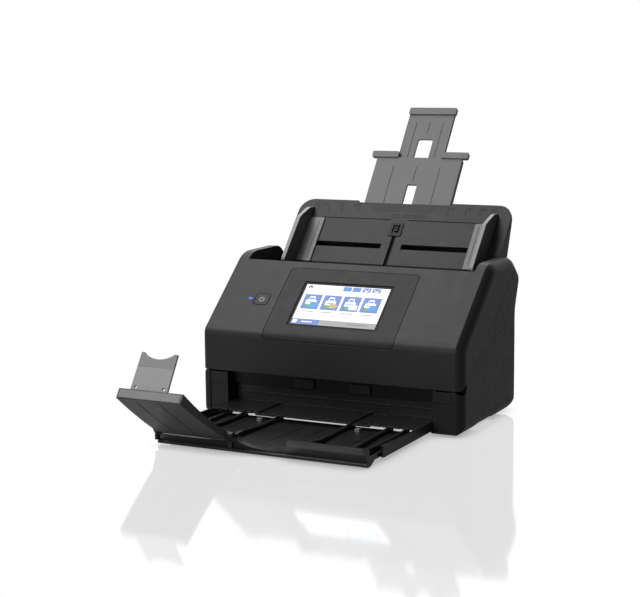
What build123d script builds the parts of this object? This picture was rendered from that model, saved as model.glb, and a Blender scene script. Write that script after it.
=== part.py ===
"""Desktop sheet fed document scanner with a folding input tray and a pull out output tray.

Frame: millimetres, +Z up, the front faces -Y, the width runs along X.
The origin is on the resting plane under the middle of the body.
"""

from build123d import *
from math import acos, cos, pi, radians, sin, tan
import os

os.makedirs("parts", exist_ok=True)

# Body
HALF_WIDTH = 148.0
FRONT_Y = -78.5
REAR_Y = 78.0
BULGE_Y = 91.5
BULGE_HALF = 125.0
BOTTOM_Z = 2.0
TOP_Z = 162.5
BEND_Z = 90.0
SLOPE = 40.7
WALL = 2.5
SEAM = 0.35

# Paper path, from the tray down to the exit
TRAY_ANGLE = 48.6
TRAY_FOOT = (64.3, 147.5)
PATH_TURN = (18.0, 95.2)
PATH_ANGLE = 36.4
PATH_HALF = 116.0
PATH_GAP = 1.5

# Pivots in the side view (Y, Z)
TRAY_PIVOT = (76.0, 146.0)
COVER_PIVOT = (-73.0, 49.5)
FLAP_PIVOT = (-222.0, 17.0)

# Input tray
TRAY_LENGTH = 84.2
TRAY_HALF = 128.0
TRAY_LOW_HALF = 122.0
TRAY_DISC = 11.9
GUIDE_X = 108.5
PINION_T = 24.0
PINION_TEETH = 12
MODULE = 1.0
EXT_ANGLE = 54.0
EXT_ORIGIN = (122.3, 206.5)

# Output tray
OUT_HALF = 113.0
RAIL_HALF = 115.8


def save(builder, name):
    """Labels a finished piece and writes it."""
    builder.part.label = name
    export_step(builder.part, f"parts/{name}.step")


def prism(points, x_from, x_to):
    """A solid with this outline in the side view (Y, Z), between two X positions."""
    with BuildPart(mode=Mode.PRIVATE) as solid:
        with BuildSketch(Plane.YZ.offset(x_from)):
            with BuildLine():
                Polyline(*points, close=True)
            make_face()
        extrude(amount=x_to - x_from)
    return solid.part


def rod(centre, radius, x_from, x_to, hole=0.0):
    """A cylinder or tube along X around a point of the side view."""
    with BuildPart(mode=Mode.PRIVATE) as solid:
        with BuildSketch(Plane.YZ.offset(x_from)):
            with Locations(centre):
                Circle(radius)
                if hole:
                    Circle(hole, mode=Mode.SUBTRACT)
        extrude(amount=x_to - x_from)
    return solid.part


def brick(x, y, z):
    """A box between pairs of coordinates."""
    size = (x[1] - x[0], y[1] - y[0], z[1] - z[0])
    middle = ((x[0] + x[1]) / 2, (y[0] + y[1]) / 2, (z[0] + z[1]) / 2)
    return Pos(*middle) * Box(*size, mode=Mode.PRIVATE)


def plate(plane, x, y, depth, radius=0.0):
    """A plate on a plane: x and y are local ranges, depth is the range along the normal."""
    with BuildPart(mode=Mode.PRIVATE) as solid:
        with BuildSketch(plane.offset(depth[0])):
            with Locations(((x[0] + x[1]) / 2, (y[0] + y[1]) / 2)):
                if radius:
                    RectangleRounded(x[1] - x[0], y[1] - y[0], radius)
                else:
                    Rectangle(x[1] - x[0], y[1] - y[0])
        extrude(amount=depth[1] - depth[0])
    return solid.part


def slope_plane(foot, angle):
    """A plane that climbs to the rear: local y runs up the slope, the normal faces the front."""
    lean = radians(angle)
    return Plane((0, foot[0], foot[1]), x_dir=(1, 0, 0), z_dir=(0, -sin(lean), cos(lean)))


def along(foot, angle, run, lift=0.0):
    """A side view point at a run up a slope and a lift in front of it."""
    lean = radians(angle)
    y = foot[0] + run * cos(lean) - lift * sin(lean)
    z = foot[1] + run * sin(lean) + lift * cos(lean)
    return (y, z)


PANEL = slope_plane((FRONT_Y, BEND_Z), SLOPE)
TRAY = slope_plane(TRAY_FOOT, TRAY_ANGLE)
EXT = slope_plane(EXT_ORIGIN, EXT_ANGLE)


def on_tray(run, lift=0.0):
    """A side view point on the input tray: run up its face, lift in front of it."""
    return along(TRAY_FOOT, TRAY_ANGLE, run, lift)


def tray_prism(run, lift, x_from, x_to):
    """A bar along X with a rectangular section on the line of the input tray."""
    corners = [(run[0], lift[0]), (run[1], lift[0]), (run[1], lift[1]), (run[0], lift[1])]
    return prism([on_tray(a, b) for a, b in corners], x_from, x_to)


def on_path(run, lift=0.0):
    """A side view point on the lower paper path, run measured down from its turn."""
    return along(PATH_TURN, PATH_ANGLE, -run, lift)


# The body's outline and its regions

CREST_Y = FRONT_Y + (TOP_Z - BEND_Z) / tan(radians(SLOPE))
OUTLINE = [
    ((FRONT_Y, BOTTOM_Z), 4.0),
    ((FRONT_Y, BEND_Z), 14.0),
    ((CREST_Y, TOP_Z), 26.0),
    ((67.0, TOP_Z), 18.0),
    ((91.5, 141.0), 14.0),
    ((REAR_Y, 106.0), 25.0),
    ((REAR_Y, BOTTOM_Z), 34.0),
]
EDGE_RADIUS = 12.0
EDGE_CREASE = 1.0
LOW_EDGE_RADIUS = 10.0


def outline_sketch(inset, corners):
    """The body's side view, moved inwards by inset."""
    with BuildSketch(Plane.YZ, mode=Mode.PRIVATE) as side:
        with BuildLine():
            Polyline(*[point for point, _ in corners], close=True)
        make_face()
        for point, radius in corners:
            if radius:
                corner = side.vertices().sort_by_distance((point[0], point[1], 0))[0]
                fillet(corner, radius)
        if inset:
            offset(amount=-inset, mode=Mode.REPLACE)
    return side.sketch


def body_volume(inset):
    """The closed body: its sides are rounded over, and meet the faces at a soft crease."""
    deep = [((FRONT_Y, -60.0), 0.0)] + OUTLINE[1:-1] + [((REAR_Y, -60.0), 0.0)]
    swollen = outline_sketch(inset - EDGE_CREASE, deep)
    exact = outline_sketch(inset, OUTLINE)
    half = HALF_WIDTH - inset
    with BuildPart(mode=Mode.PRIVATE) as volume:
        extrude(Pos(-half, 0, 0) * swollen, amount=2 * half, dir=(1, 0, 0))
        rims = volume.faces().filter_by(Axis.X).edges()
        fillet(rims.filter_by(lambda edge: edge.center().Z > -50), EDGE_RADIUS - inset)
        extrude(Pos(-half, 0, 0) * exact, amount=2 * half, dir=(1, 0, 0), mode=Mode.INTERSECT)
        with BuildSketch(Plane.XZ.offset(-150)) as front_view:
            with Locations((0, 100 + BOTTOM_Z + inset)):
                Rectangle(2 * half, 200)
            low_corners = front_view.vertices().group_by(Axis.Y)[0]
            fillet(low_corners, LOW_EDGE_RADIUS - inset)
        extrude(amount=300, mode=Mode.INTERSECT)
    return volume.part


OUTER = body_volume(0.0)
INNER = body_volume(WALL)
SKIN = body_volume(1.9)

SEAM_TURN = (-9.0, 94.0)
SEAM_LINE = [(-95.0, 46.9), (-73.5, 46.9), (-62.5, 57.5), SEAM_TURN, (66.0, 148.9), (110.0, 181.1)]
STEP_LINE = [SEAM_TURN, (0.5, 84.0), (66.0, 101.5), (110.0, 113.3)]


def region(line, far_z, drop=0.0):
    """The space between a line of the side view and a height, over the full width."""
    points = [(y, z - drop) for y, z in line]
    points += [(line[-1][0], far_z), (line[0][0], far_z)]
    return prism(points, -HALF_WIDTH - 5, HALF_WIDTH + 5)


def shelf_z(y):
    """The recess floor under the folded input tray."""
    return 154.3 - 0.2755 * (y - 1.0)


BAY_HALF = 131.0
BAY = [
    (-2.6, 200.0), (-2.6, 155.0), (1.0, shelf_z(1.0)), (63.5, shelf_z(63.5)),
    (85.2, 137.2), (92.0, 145.5), (110.0, 166.0), (110.0, 200.0),
]
THROAT = [
    (-0.5, 156.0), (5.0, 150.5), (14.5, 113.0), (12.0, 92.5), (19.5, 95.2), (66.0, 147.9), (66.0, 158.0),
]


def grown(points, amount):
    """An outline moved outwards."""
    with BuildSketch(Plane.YZ, mode=Mode.PRIVATE) as shape:
        with BuildLine():
            Polyline(*points, close=True)
        make_face()
        offset(amount=amount, kind=Kind.INTERSECTION)
    return shape.sketch


def grown_prism(points, amount, half):
    """A centred solid with an outline moved outwards."""
    shape = grown(points, amount)
    with BuildPart(mode=Mode.PRIVATE) as solid:
        extrude(Pos(-half, 0, 0) * shape, amount=2 * half, dir=(1, 0, 0))
    return solid.part


bay_cut = prism(BAY, -BAY_HALF, BAY_HALF)
throat_cut = prism(THROAT, -PATH_HALF, PATH_HALF)
pivot_clearance = rod(COVER_PIVOT, 6.6, -150, 150)
FIN_REACH = 44.0
fin_pockets = [rod(TRAY_PIVOT, FIN_REACH, side * 101 - 16, side * 101 + 16) for side in (-1, 1)]

# Rollers along the paper path: (run from the turn, radius)
PICKUP_RUN, PICKUP_RADIUS = 6.0, 7.0
FEED_RUN, FEED_RADIUS = 24.0, 6.0
EXIT_RUN, EXIT_RADIUS = 68.0, 6.0
IDLER_RADIUS = 4.0
SCAN_RUN = 44.0
PROUD = 0.4
PICKUP_AT = on_path(PICKUP_RUN, PROUD - PICKUP_RADIUS)
FEED_AT = on_path(FEED_RUN, PROUD - FEED_RADIUS)
EXIT_AT = on_path(EXIT_RUN, PROUD - EXIT_RADIUS)
SEPARATION_AT = on_path(PICKUP_RUN, PROUD + 0.1 + PICKUP_RADIUS)
FEED_IDLER_AT = on_path(FEED_RUN, PROUD + 0.1 + IDLER_RADIUS)
EXIT_IDLER_AT = on_path(EXIT_RUN, PROUD + 0.1 + IDLER_RADIUS)
SEPARATION_ROOM = PICKUP_RADIUS + 0.7
MOTOR_AT = (24.0, 51.5)
ROLLER_PLACES = (-75.0, -25.0, 25.0, 75.0)
PATH = slope_plane(PATH_TURN, PATH_ANGLE)
scan_window = plate(PATH, (-108.4, 108.4), (-SCAN_RUN - 8.4, -SCAN_RUN + 8.4), (-4, 5))

# Front cover: the hinged shell over the paper path, with the shoulders beside the tray

POWER_AT = (-92.5, 45.0)
LED_AT = (-106.2, 45.3)
BEZEL_HALF = 74.2
BEZEL_RUN = (-3.9, 91.0)
SCREEN_RUN = (15.0, 71.4)
SCREEN_HALF = 49.2
SCREEN_RIM = 2.2

bezel_outline = plate(PANEL, (-BEZEL_HALF, BEZEL_HALF), BEZEL_RUN, (-20, 20), 5.0)
BEZEL_GAP = 0.45
bezel_x = (-BEZEL_HALF - BEZEL_GAP, BEZEL_HALF + BEZEL_GAP)
bezel_run = (BEZEL_RUN[0] - BEZEL_GAP, BEZEL_RUN[1] + BEZEL_GAP)
bezel_pocket = plate(PANEL, bezel_x, bezel_run, (-20, 20), 5.0 + BEZEL_GAP) - SKIN


def around_screen(margin):
    """The screen's local x and y ranges on the panel, grown by a margin."""
    return (-SCREEN_HALF - margin, SCREEN_HALF + margin), (SCREEN_RUN[0] - margin, SCREEN_RUN[1] + margin)


screen_window = plate(PANEL, *around_screen(SCREEN_RIM), (-20, 20), 1.5)
screen_back = plate(PANEL, *around_screen(4.0), (-20, 20), 1.5)

# Release lever in the left shoulder: (Y, drop below the recess floor)
LEVER_X = (-129.4, -119.8)
LEVER_TAB = [(15.0, 0.4), (15.0, 2.0), (33.0, 5.0), (36.0, 7.9), (38.6, 5.0), (38.6, 1.6), (22.0, 0.4)]
LEVER_POCKET = [(14.0, -5.0), (14.0, 9.0), (40.0, 9.0), (40.0, -5.0)]
LEVER_HOOK = [(33.5, 110.0), (29.5, 110.0), (29.5, 107.5), (37.0, 107.5)]


def below_shelf(y, drop):
    """A side view point at a drop below the recess floor."""
    return (y, shelf_z(y) - drop)


LEVER_PIVOT = below_shelf(36.0, 5.5)
cover_cavity = INNER & region(SEAM_LINE, 220.0, 60.0)
cover_cavity = cover_cavity - grown_prism(BAY, WALL, BAY_HALF + WALL)
cover_cavity = cover_cavity - grown_prism(THROAT, WALL, PATH_HALF + WALL)
button_rim = plate(
    PANEL, (POWER_AT[0] - 11, POWER_AT[0] + 11), (POWER_AT[1] - 10, POWER_AT[1] + 10), (-6, -1), 4.0
)

with BuildPart() as front_cover:
    add(OUTER & region(SEAM_LINE, 220.0))
    add(cover_cavity, mode=Mode.SUBTRACT)
    add(button_rim & OUTER)
    add(bay_cut, mode=Mode.SUBTRACT)
    add(throat_cut, mode=Mode.SUBTRACT)
    add(bezel_pocket, mode=Mode.SUBTRACT)
    add(screen_back, mode=Mode.SUBTRACT)
    add(prism([below_shelf(y, drop) for y, drop in LEVER_POCKET], LEVER_X[0] - 0.5, LEVER_X[1] + 0.5),
        mode=Mode.SUBTRACT)
    with BuildSketch(PANEL.offset(-12)):
        with Locations(POWER_AT):
            RectangleRounded(17.4, 15.4, 3.4)
        with Locations(LED_AT):
            RectangleRounded(4.4, 2.9, 0.8)
    extrude(amount=20, mode=Mode.SUBTRACT)
    for side in (-1, 1):
        add(rod(COVER_PIVOT, 3.4, side * 124.5 - 3, side * 124.5 + 3))
        add(brick((side * 124.5 - 3, side * 124.5 + 3), (-76.5, -73.0), (49.5, 56.0)))
        add(rod(COVER_PIVOT, 1.56, side * 124.5 - 4, side * 124.5 + 4), mode=Mode.SUBTRACT)
    add(rod(SEPARATION_AT, SEPARATION_ROOM, -21.5, 21.5), mode=Mode.SUBTRACT)
save(front_cover, "front_cover")


with BuildPart() as panel_bezel:
    add((OUTER & bezel_outline) - SKIN)
    add(screen_window, mode=Mode.SUBTRACT)
save(panel_bezel, "panel_bezel")

with BuildPart() as touch_screen:
    add(plate(PANEL, *around_screen(2.0), (-1.9, -0.7), 1.6))
save(touch_screen, "touch_screen")

with BuildPart() as display_module:
    add(plate(PANEL, *around_screen(3.0), (-6.0, -1.95)))
save(display_module, "display_module")

with BuildPart() as panel_board:
    add(plate(PANEL, (-114, 60), (22, 68), (-10.6, -9.0)))
    with BuildSketch(PANEL.offset(-9.0)):
        with Locations((-27, 45)):
            with GridLocations(56, 26, 3, 2):
                Rectangle(9, 7)
    extrude(amount=1.6)
    with BuildSketch(PANEL.offset(-10.6)):
        with Locations((-108, 28), (-108, 62), (54, 28), (54, 62)):
            Circle(1.6)
    extrude(amount=3, mode=Mode.SUBTRACT)
    add(plate(PANEL, (POWER_AT[0] - 3, POWER_AT[0] + 3), (POWER_AT[1] - 3, POWER_AT[1] + 3), (-9.0, -7.75)))
save(panel_board, "panel_board")

BUTTON_TRAVEL = 0.8
with BuildPart() as power_button:
    with BuildSketch(PANEL.offset(-3.6)):
        with Locations(POWER_AT):
            RectangleRounded(16.6, 14.6, 3.0)
    extrude(amount=3.9)
    fillet(power_button.faces().sort_by(lambda face: -face.center().Y)[-1].edges(), 0.5)
    with BuildSketch(PANEL.offset(-6.9)):
        with Locations(POWER_AT):
            Circle(2.2)
    extrude(amount=3.4)
save(power_button, "power_button")

with BuildPart() as status_lens:
    with BuildSketch(PANEL.offset(-5.0)):
        with Locations(LED_AT):
            RectangleRounded(4.2, 2.7, 0.7)
    extrude(amount=5.1)
save(status_lens, "status_lens")

# Upper paper guide: the inside of the front cover

GUIDE_TOP_RUN = 11.5
upper_plate = [
    on_path(GUIDE_TOP_RUN, PATH_GAP), (-44.9, 50.9), (-70.0, 44.8),
    (-70.0, 47.2), (-45.6, 53.3), on_path(GUIDE_TOP_RUN, PATH_GAP + 2),
]
upper_side = [
    on_path(GUIDE_TOP_RUN, PATH_GAP), (-44.9, 50.9), (-66.0, 45.8),
    (-66.0, 57.0), (-45.0, 74.0), (3.0, 104.0),
]
with BuildPart() as upper_paper_guide:
    add(prism(upper_plate, -115.3, 115.3))
    for side in (-1, 1):
        add(prism(upper_side, side * 114 - 1.3, side * 114 + 1.3))
    add(scan_window, mode=Mode.SUBTRACT)
    for x in ROLLER_PLACES:
        add(rod(FEED_IDLER_AT, IDLER_RADIUS + 0.8, x - 8, x + 8), mode=Mode.SUBTRACT)
        add(rod(EXIT_IDLER_AT, IDLER_RADIUS + 0.8, x - 8, x + 8), mode=Mode.SUBTRACT)
    add(rod(SEPARATION_AT, SEPARATION_ROOM, -21.5, 21.5), mode=Mode.SUBTRACT)
    for centre in (FEED_IDLER_AT, EXIT_IDLER_AT):
        add(rod(centre, 2.06, -116, 116), mode=Mode.SUBTRACT)
save(upper_paper_guide, "upper_paper_guide")

with BuildPart() as front_scan_unit:
    add(plate(PATH, (-112.4, 112.4), (-SCAN_RUN - 9, -SCAN_RUN + 9), (3.9, 15.0), 1.5))
save(front_scan_unit, "front_scan_unit")

with BuildPart() as front_scan_glass:
    add(plate(PATH, (-108.0, 108.0), (-SCAN_RUN - 8, -SCAN_RUN + 8), (1.9, 3.8)))
save(front_scan_glass, "front_scan_glass")


def roller_set(centre, radius, core, width, places):
    """Rubber rings on a shaft line."""
    with BuildPart(mode=Mode.PRIVATE) as rings:
        for x in places:
            add(rod(centre, radius, x - width / 2, x + width / 2, hole=core))
        circles = rings.edges().filter_by(GeomType.CIRCLE)
        fillet(circles.filter_by(lambda edge: edge.radius > radius - 0.1), 0.4)
    return rings


idler_lines = {"feed_idler": FEED_IDLER_AT, "exit_idler": EXIT_IDLER_AT}
for name, centre in idler_lines.items():
    save(roller_set(centre, IDLER_RADIUS, 2.0, 13.0, ROLLER_PLACES), name + "_rollers")
with BuildPart() as idler_shafts:
    for centre in idler_lines.values():
        add(rod(centre, 2.0, -115.0, 115.0))
save(idler_shafts, "idler_shafts")

separation_roller = roller_set(SEPARATION_AT, PICKUP_RADIUS, 3.0, 30.0, (0.0,))
save(separation_roller, "separation_roller")
with BuildPart() as separation_shaft:
    add(rod(SEPARATION_AT, 3.0, -20.5, 20.5))
save(separation_shaft, "separation_shaft")

with BuildPart() as separation_holder:
    for side in (-1, 1):
        add(brick((side * 19.3 - 1.2, side * 19.3 + 1.2), (-10.0, 11.8), (94.2, 101.2)))
    add(brick((-20.5, 20.5), (-12.0, -9.0), (94.2, 101.2)))
    add(rod(SEPARATION_AT, 3.06, -22, 22), mode=Mode.SUBTRACT)
save(separation_holder, "separation_holder")

# Base: lower housing, upper rear housing, chassis and lower paper guide

base_line = [(y, z - SEAM) for y, z in SEAM_LINE[:4] + STEP_LINE[1:]]
rear_outline = [(SEAM_TURN[0] + 0.6, SEAM_TURN[1]), *STEP_LINE[1:], (110.0, SEAM_LINE[-1][1] - SEAM)]
USB_X, USB_Z = -34.0, 46.0
JACK_X, JACK_Z = -64.0, 46.0
JACK_RADIUS = 3.0
ARCH = [(-52.0, 1.0), (-34.0, 6.4), (10.0, 6.4), (20.0, 1.0)]
FOOT_PLACES = [(x, y) for x in (-123.0, 123.0) for y in (-58.0, 34.0)] + [(0.0, 0.0)]

# Screws that hold the chassis posts to the floor
SCREW_X = (-132.4, 132.4)
SCREW_Y = -70.0
SCREW_RADIUS = 1.5
SCREW_HEAD_RADIUS = 2.6
SCREW_SINK = 0.5


def screw(x, radius):
    """A flat headed screw, with its head sunk into the floor of the housing."""
    head = Pos(x, SCREW_Y, BOTTOM_Z + SCREW_SINK + 0.7) * Cylinder(SCREW_HEAD_RADIUS, 1.4, mode=Mode.PRIVATE)
    shank = Pos(x, SCREW_Y, BOTTOM_Z + SCREW_SINK + 6.0) * Cylinder(radius, 12.0, mode=Mode.PRIVATE)
    return head + shank


with BuildPart() as base_housing:
    add((OUTER - INNER) & region(base_line, -10.0))
    add(pivot_clearance, mode=Mode.SUBTRACT)
    add(brick((-137.4, 137.4), (-85.0, -74.0), (4.5, 60.0)), mode=Mode.SUBTRACT)
    for side in (-1, 1):
        add(prism(ARCH, side * 144 - 6, side * 144 + 6), mode=Mode.SUBTRACT)
    add(brick((USB_X - 6.4, USB_X + 6.4), (70.0, 85.0), (USB_Z - 5.9, USB_Z + 5.9)), mode=Mode.SUBTRACT)
    add(brick((JACK_X - 5.8, JACK_X + 5.8), (70.0, 85.0), (JACK_Z - 5.8, JACK_Z + 5.8)), mode=Mode.SUBTRACT)
    add(brick((100.0, 107.0), (70.0, 85.0), (28.0, 31.0)), mode=Mode.SUBTRACT)
    add(brick((-115.0, 115.0), (-85.0, -46.0), (0.0, 5.0)), mode=Mode.SUBTRACT)
    with BuildSketch(Plane.XY.offset(BOTTOM_Z)):
        with Locations(*FOOT_PLACES):
            RectangleRounded(18.4, 14.4, 3.2)
    extrude(amount=1.4, mode=Mode.SUBTRACT)
    for x in SCREW_X:
        add(screw(x, SCREW_RADIUS), mode=Mode.SUBTRACT)
        add(screw(x, SCREW_RADIUS).moved(Location((0, 0, -1.5))), mode=Mode.SUBTRACT)
    with BuildSketch(Plane.XZ.offset(-REAR_Y)):
        with GridLocations(4.4, 30, 12, 1):
            with Locations((52.0, 74.0)):
                RectangleRounded(2.2, 22, 1.0)
    extrude(amount=WALL, mode=Mode.SUBTRACT)
save(base_housing, "base_housing")

with BuildPart() as rubber_feet:
    with BuildSketch(Plane.XY):
        with Locations(*FOOT_PLACES):
            RectangleRounded(18.0, 14.0, 3.0)
    extrude(amount=BOTTOM_Z + 1.3)
    fillet(rubber_feet.edges().group_by(Axis.Z)[0], 0.6)
save(rubber_feet, "rubber_feet")

fin_sector = prism([TRAY_PIVOT, (10, 170), (10, 90), (76, 90), (108, 96.7)], -BULGE_HALF, BULGE_HALF)
fin_pocket = Part() + [pocket & fin_sector for pocket in fin_pockets]
disc_clearance = rod(TRAY_PIVOT, TRAY_DISC + 0.6, -TRAY_LOW_HALF - 0.5, TRAY_LOW_HALF + 0.5)
seat_sector = prism([TRAY_PIVOT, (54, 128.5), (54, 120), (98, 112), (98, 131.5)], -84.5, 84.5)
EAR_X = 125.3
EAR_HALF = 2.0

bulge = brick((-BULGE_HALF, BULGE_HALF), (REAR_Y + 0.2, BULGE_Y), (99.0, 137.4))
bulge = fillet(bulge.edges().filter_by(lambda edge: abs(edge.center().Y - BULGE_Y) < 0.01), 4.0)

with BuildPart() as rear_cover:
    add((OUTER - INNER) & prism(rear_outline, -HALF_WIDTH - 5, HALF_WIDTH + 5))
    add(bulge)
    add(brick((-BULGE_HALF, BULGE_HALF), (74.0, REAR_Y + 0.3), (104.9, 137.1)))
    add(brick((-122.8, 122.8), (60.0, 89.4), (101.2, 135.0)), mode=Mode.SUBTRACT)
    for side in (-1, 1):
        add(brick((side * 131.5 - 14.3, side * 131.5 + 14.3), (60.0, 87.0), (134.7, 137.0)) & OUTER)
    add(bay_cut, mode=Mode.SUBTRACT)
    add((rod(TRAY_PIVOT, 15.0, -84.5, 84.5) & seat_sector))
    for side in (-1, 1):
        add(rod(TRAY_PIVOT, 10.4, side * EAR_X - EAR_HALF, side * EAR_X + EAR_HALF))
        add(brick((side * EAR_X - EAR_HALF, side * EAR_X + EAR_HALF), (69.0, 83.0), (134.8, 142.0)))
    add(disc_clearance, mode=Mode.SUBTRACT)
    add(fin_pocket, mode=Mode.SUBTRACT)
    add(rod(TRAY_PIVOT, 3.0, -140, 140), mode=Mode.SUBTRACT)
save(rear_cover, "rear_cover")

with BuildPart() as tray_hinge_pins:
    for side in (-1, 1):
        add(rod(TRAY_PIVOT, 3.0, side * 119.5 - 8, side * 119.5 + 8))
save(tray_hinge_pins, "tray_hinge_pins")

POST_INNER, POST_OUTER = 116.4, 137.0
side_plate = [
    (-61.8, 4.7), (-61.8, 46.0), (-45.0, 68.0), (-10.5, 91.0), (56.0, 137.0), (56.0, 128.0), (72.0, 126.0),
    (72.0, 36.0), (66.0, 18.5), (57.0, 9.4), (43.0, 4.9),
]
with BuildPart() as chassis:
    for side in (-1, 1):
        add(prism(side_plate, side * 118.3 - 1.2, side * 118.3 + 1.2))
    add(brick((-119.5, 119.5), (-61.8, 72.0), (30.6, 32.4)))
    for side in (-1, 1):
        low, high = sorted((side * POST_INNER, side * POST_OUTER))
        add(brick((low, high), (-77.6, -61.0), (4.7, 32.8)))
        add(brick((low + 2, high - 2), (-75.0, -66.0), (6.7, 30.0)), mode=Mode.SUBTRACT)
    for centre in (PICKUP_AT, FEED_AT, EXIT_AT):
        add(rod(centre, 5.0, -125, 125), mode=Mode.SUBTRACT)
    add(rod(MOTOR_AT, 5.05, 110, 125), mode=Mode.SUBTRACT)
    add(fin_pocket, mode=Mode.SUBTRACT)
    for x in SCREW_X:
        add(screw(x, SCREW_RADIUS), mode=Mode.SUBTRACT)
save(chassis, "chassis")

with BuildPart() as hinge_blocks:
    for side in (-1, 1):
        low, high = sorted((side * POST_INNER, side * POST_OUTER))
        add(brick((low, high), (-77.8, -62.2), (33.4, 45.4)))
        add(pivot_clearance, mode=Mode.SUBTRACT)
    for side in (-1, 1):
        x_from = side * 131.5 - 2.5
        add(rod(COVER_PIVOT, 2.8, x_from, x_from + 5))
        add(brick((x_from, x_from + 5), (-72.5, -62.4), (47.5, 51.5)))
        add(brick((x_from, x_from + 5), (-66.5, -62.4), (44.0, 51.0)))
    add(rod(COVER_PIVOT, 1.5, -140, 140), mode=Mode.SUBTRACT)
save(hinge_blocks, "hinge_blocks")

with BuildPart() as cover_hinge_pins:
    for side in (-1, 1):
        add(rod(COVER_PIVOT, 1.5, side * 127.5 - 6.5, side * 127.5 + 6.5))
save(cover_hinge_pins, "cover_hinge_pins")

lower_guide_line = [
    (56.6, 138.7), PATH_TURN, (-44.0, 49.4), (-66.0, 44.0), (-64.5, 32.7),
    (-62.4, 32.7), (-63.6, 42.3), (-43.3, 47.2), (19.5, 93.5), (58.0, 137.2),
]
SENSOR_AT = on_tray(-57.0, -9.0)
with BuildPart() as lower_paper_guide:
    add(prism(lower_guide_line, -116.2, 116.2))
    add(fin_pocket, mode=Mode.SUBTRACT)
    add(scan_window, mode=Mode.SUBTRACT)
    add(rod(PICKUP_AT, PICKUP_RADIUS + 0.8, -21, 21), mode=Mode.SUBTRACT)
    for x in ROLLER_PLACES:
        add(rod(FEED_AT, FEED_RADIUS + 0.8, x - 9.5, x + 9.5), mode=Mode.SUBTRACT)
        add(rod(EXIT_AT, EXIT_RADIUS + 0.8, x - 9.5, x + 9.5), mode=Mode.SUBTRACT)
    add(tray_prism((-66.0, -48.0), (-3.0, 2.0), 46.0, 54.0), mode=Mode.SUBTRACT)
    add(rod(SENSOR_AT, 1.0, 39.0, 61.0))
    for x in (40.0, 60.0):
        add(tray_prism((-60.0, -54.0), (-11.0, -1.0), x - 1, x + 1))
save(lower_paper_guide, "lower_paper_guide")

with BuildPart() as rear_scan_unit:
    add(plate(PATH, (-112.0, 112.0), (-SCAN_RUN - 9, -SCAN_RUN + 9), (-14.0, -2.7), 1.5))
    add(plate(PATH, (-116.6, 116.6), (-SCAN_RUN - 4, -SCAN_RUN + 4), (-12.0, -6.0)))
save(rear_scan_unit, "rear_scan_unit")

with BuildPart() as rear_scan_glass:
    add(plate(PATH, (-108.0, 108.0), (-SCAN_RUN - 8, -SCAN_RUN + 8), (-2.6, -0.3)))
save(rear_scan_glass, "rear_scan_glass")

SHAFT_RADIUS = 3.0
PULLEY_X = 127.5
PULLEY_HALF = 3.5
PULLEY_RADIUS = 7.5
MOTOR_PULLEY_RADIUS = 5.0
FLANGE = 1.2
drive = {
    "pickup": (PICKUP_AT, PICKUP_RADIUS, PULLEY_RADIUS, 32.0, (0.0,)),
    "feed": (FEED_AT, FEED_RADIUS, PULLEY_RADIUS, 17.0, ROLLER_PLACES),
    "exit": (EXIT_AT, EXIT_RADIUS, PULLEY_RADIUS, 17.0, ROLLER_PLACES),
}
with BuildPart() as shaft_bushes:
    for centre, _, _, _, _ in drive.values():
        for side in (-1, 1):
            add(rod(centre, 5.0, side * 118.3 - 1.2, side * 118.3 + 1.2, hole=SHAFT_RADIUS + 0.05))
            add(rod(centre, 6.2, side * 120.1 - 0.6, side * 120.1 + 0.6, hole=SHAFT_RADIUS + 0.05))
save(shaft_bushes, "shaft_bushes")


def pulley(centre, radius, bore):
    """A flanged belt pulley on the drive side."""
    with BuildPart(mode=Mode.PRIVATE) as wheel:
        add(rod(centre, radius, PULLEY_X - PULLEY_HALF, PULLEY_X + PULLEY_HALF))
        for x in (PULLEY_X - PULLEY_HALF, PULLEY_X + PULLEY_HALF - 0.8):
            add(rod(centre, radius + FLANGE, x, x + 0.8))
        add(rod(centre, bore, 100, 150), mode=Mode.SUBTRACT)
    return wheel


for name, (centre, radius, pulley_radius, width, places) in drive.items():
    save(roller_set(centre, radius, SHAFT_RADIUS, width, places), name + "_rollers")
    with BuildPart() as shaft:
        add(rod(centre, SHAFT_RADIUS, -122.5, PULLEY_X + PULLEY_HALF + 1.5))
        chamfer(shaft.edges().filter_by(GeomType.CIRCLE), 0.4)
    save(shaft, name + "_shaft")
    save(pulley(centre, pulley_radius, SHAFT_RADIUS), name + "_pulley")

with BuildPart() as feed_motor:
    add(rod(MOTOR_AT, 17.0, 78.0, 116.9))
    fillet(feed_motor.edges().filter_by(GeomType.CIRCLE).group_by(Axis.X)[0], 2.0)
    add(rod(MOTOR_AT, 5.0, 116.9, 119.4))
    add(rod(MOTOR_AT, 2.56, 100.0, 120.0), mode=Mode.SUBTRACT)
save(feed_motor, "feed_motor")
with BuildPart() as motor_shaft:
    add(rod(MOTOR_AT, 2.5, 102.0, PULLEY_X + PULLEY_HALF + 1.5))
save(motor_shaft, "motor_shaft")
save(pulley(MOTOR_AT, MOTOR_PULLEY_RADIUS, 2.5), "motor_pulley")

BELT_GAP = 0.06
BELT_THICK = 1.1
belt_circles = [(centre, PULLEY_RADIUS) for centre in (PICKUP_AT, FEED_AT, EXIT_AT)]
belt_circles += [(MOTOR_AT, MOTOR_PULLEY_RADIUS)]


def belt_loop(growth):
    """The tight loop around every pulley, moved outwards by growth."""
    with BuildSketch(Plane.YZ, mode=Mode.PRIVATE) as loop:
        for centre, radius in belt_circles:
            with Locations(centre):
                Circle(radius + growth)
        make_hull()
    return Pos(PULLEY_X - PULLEY_HALF + 1.2, 0, 0) * loop.sketch


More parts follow.
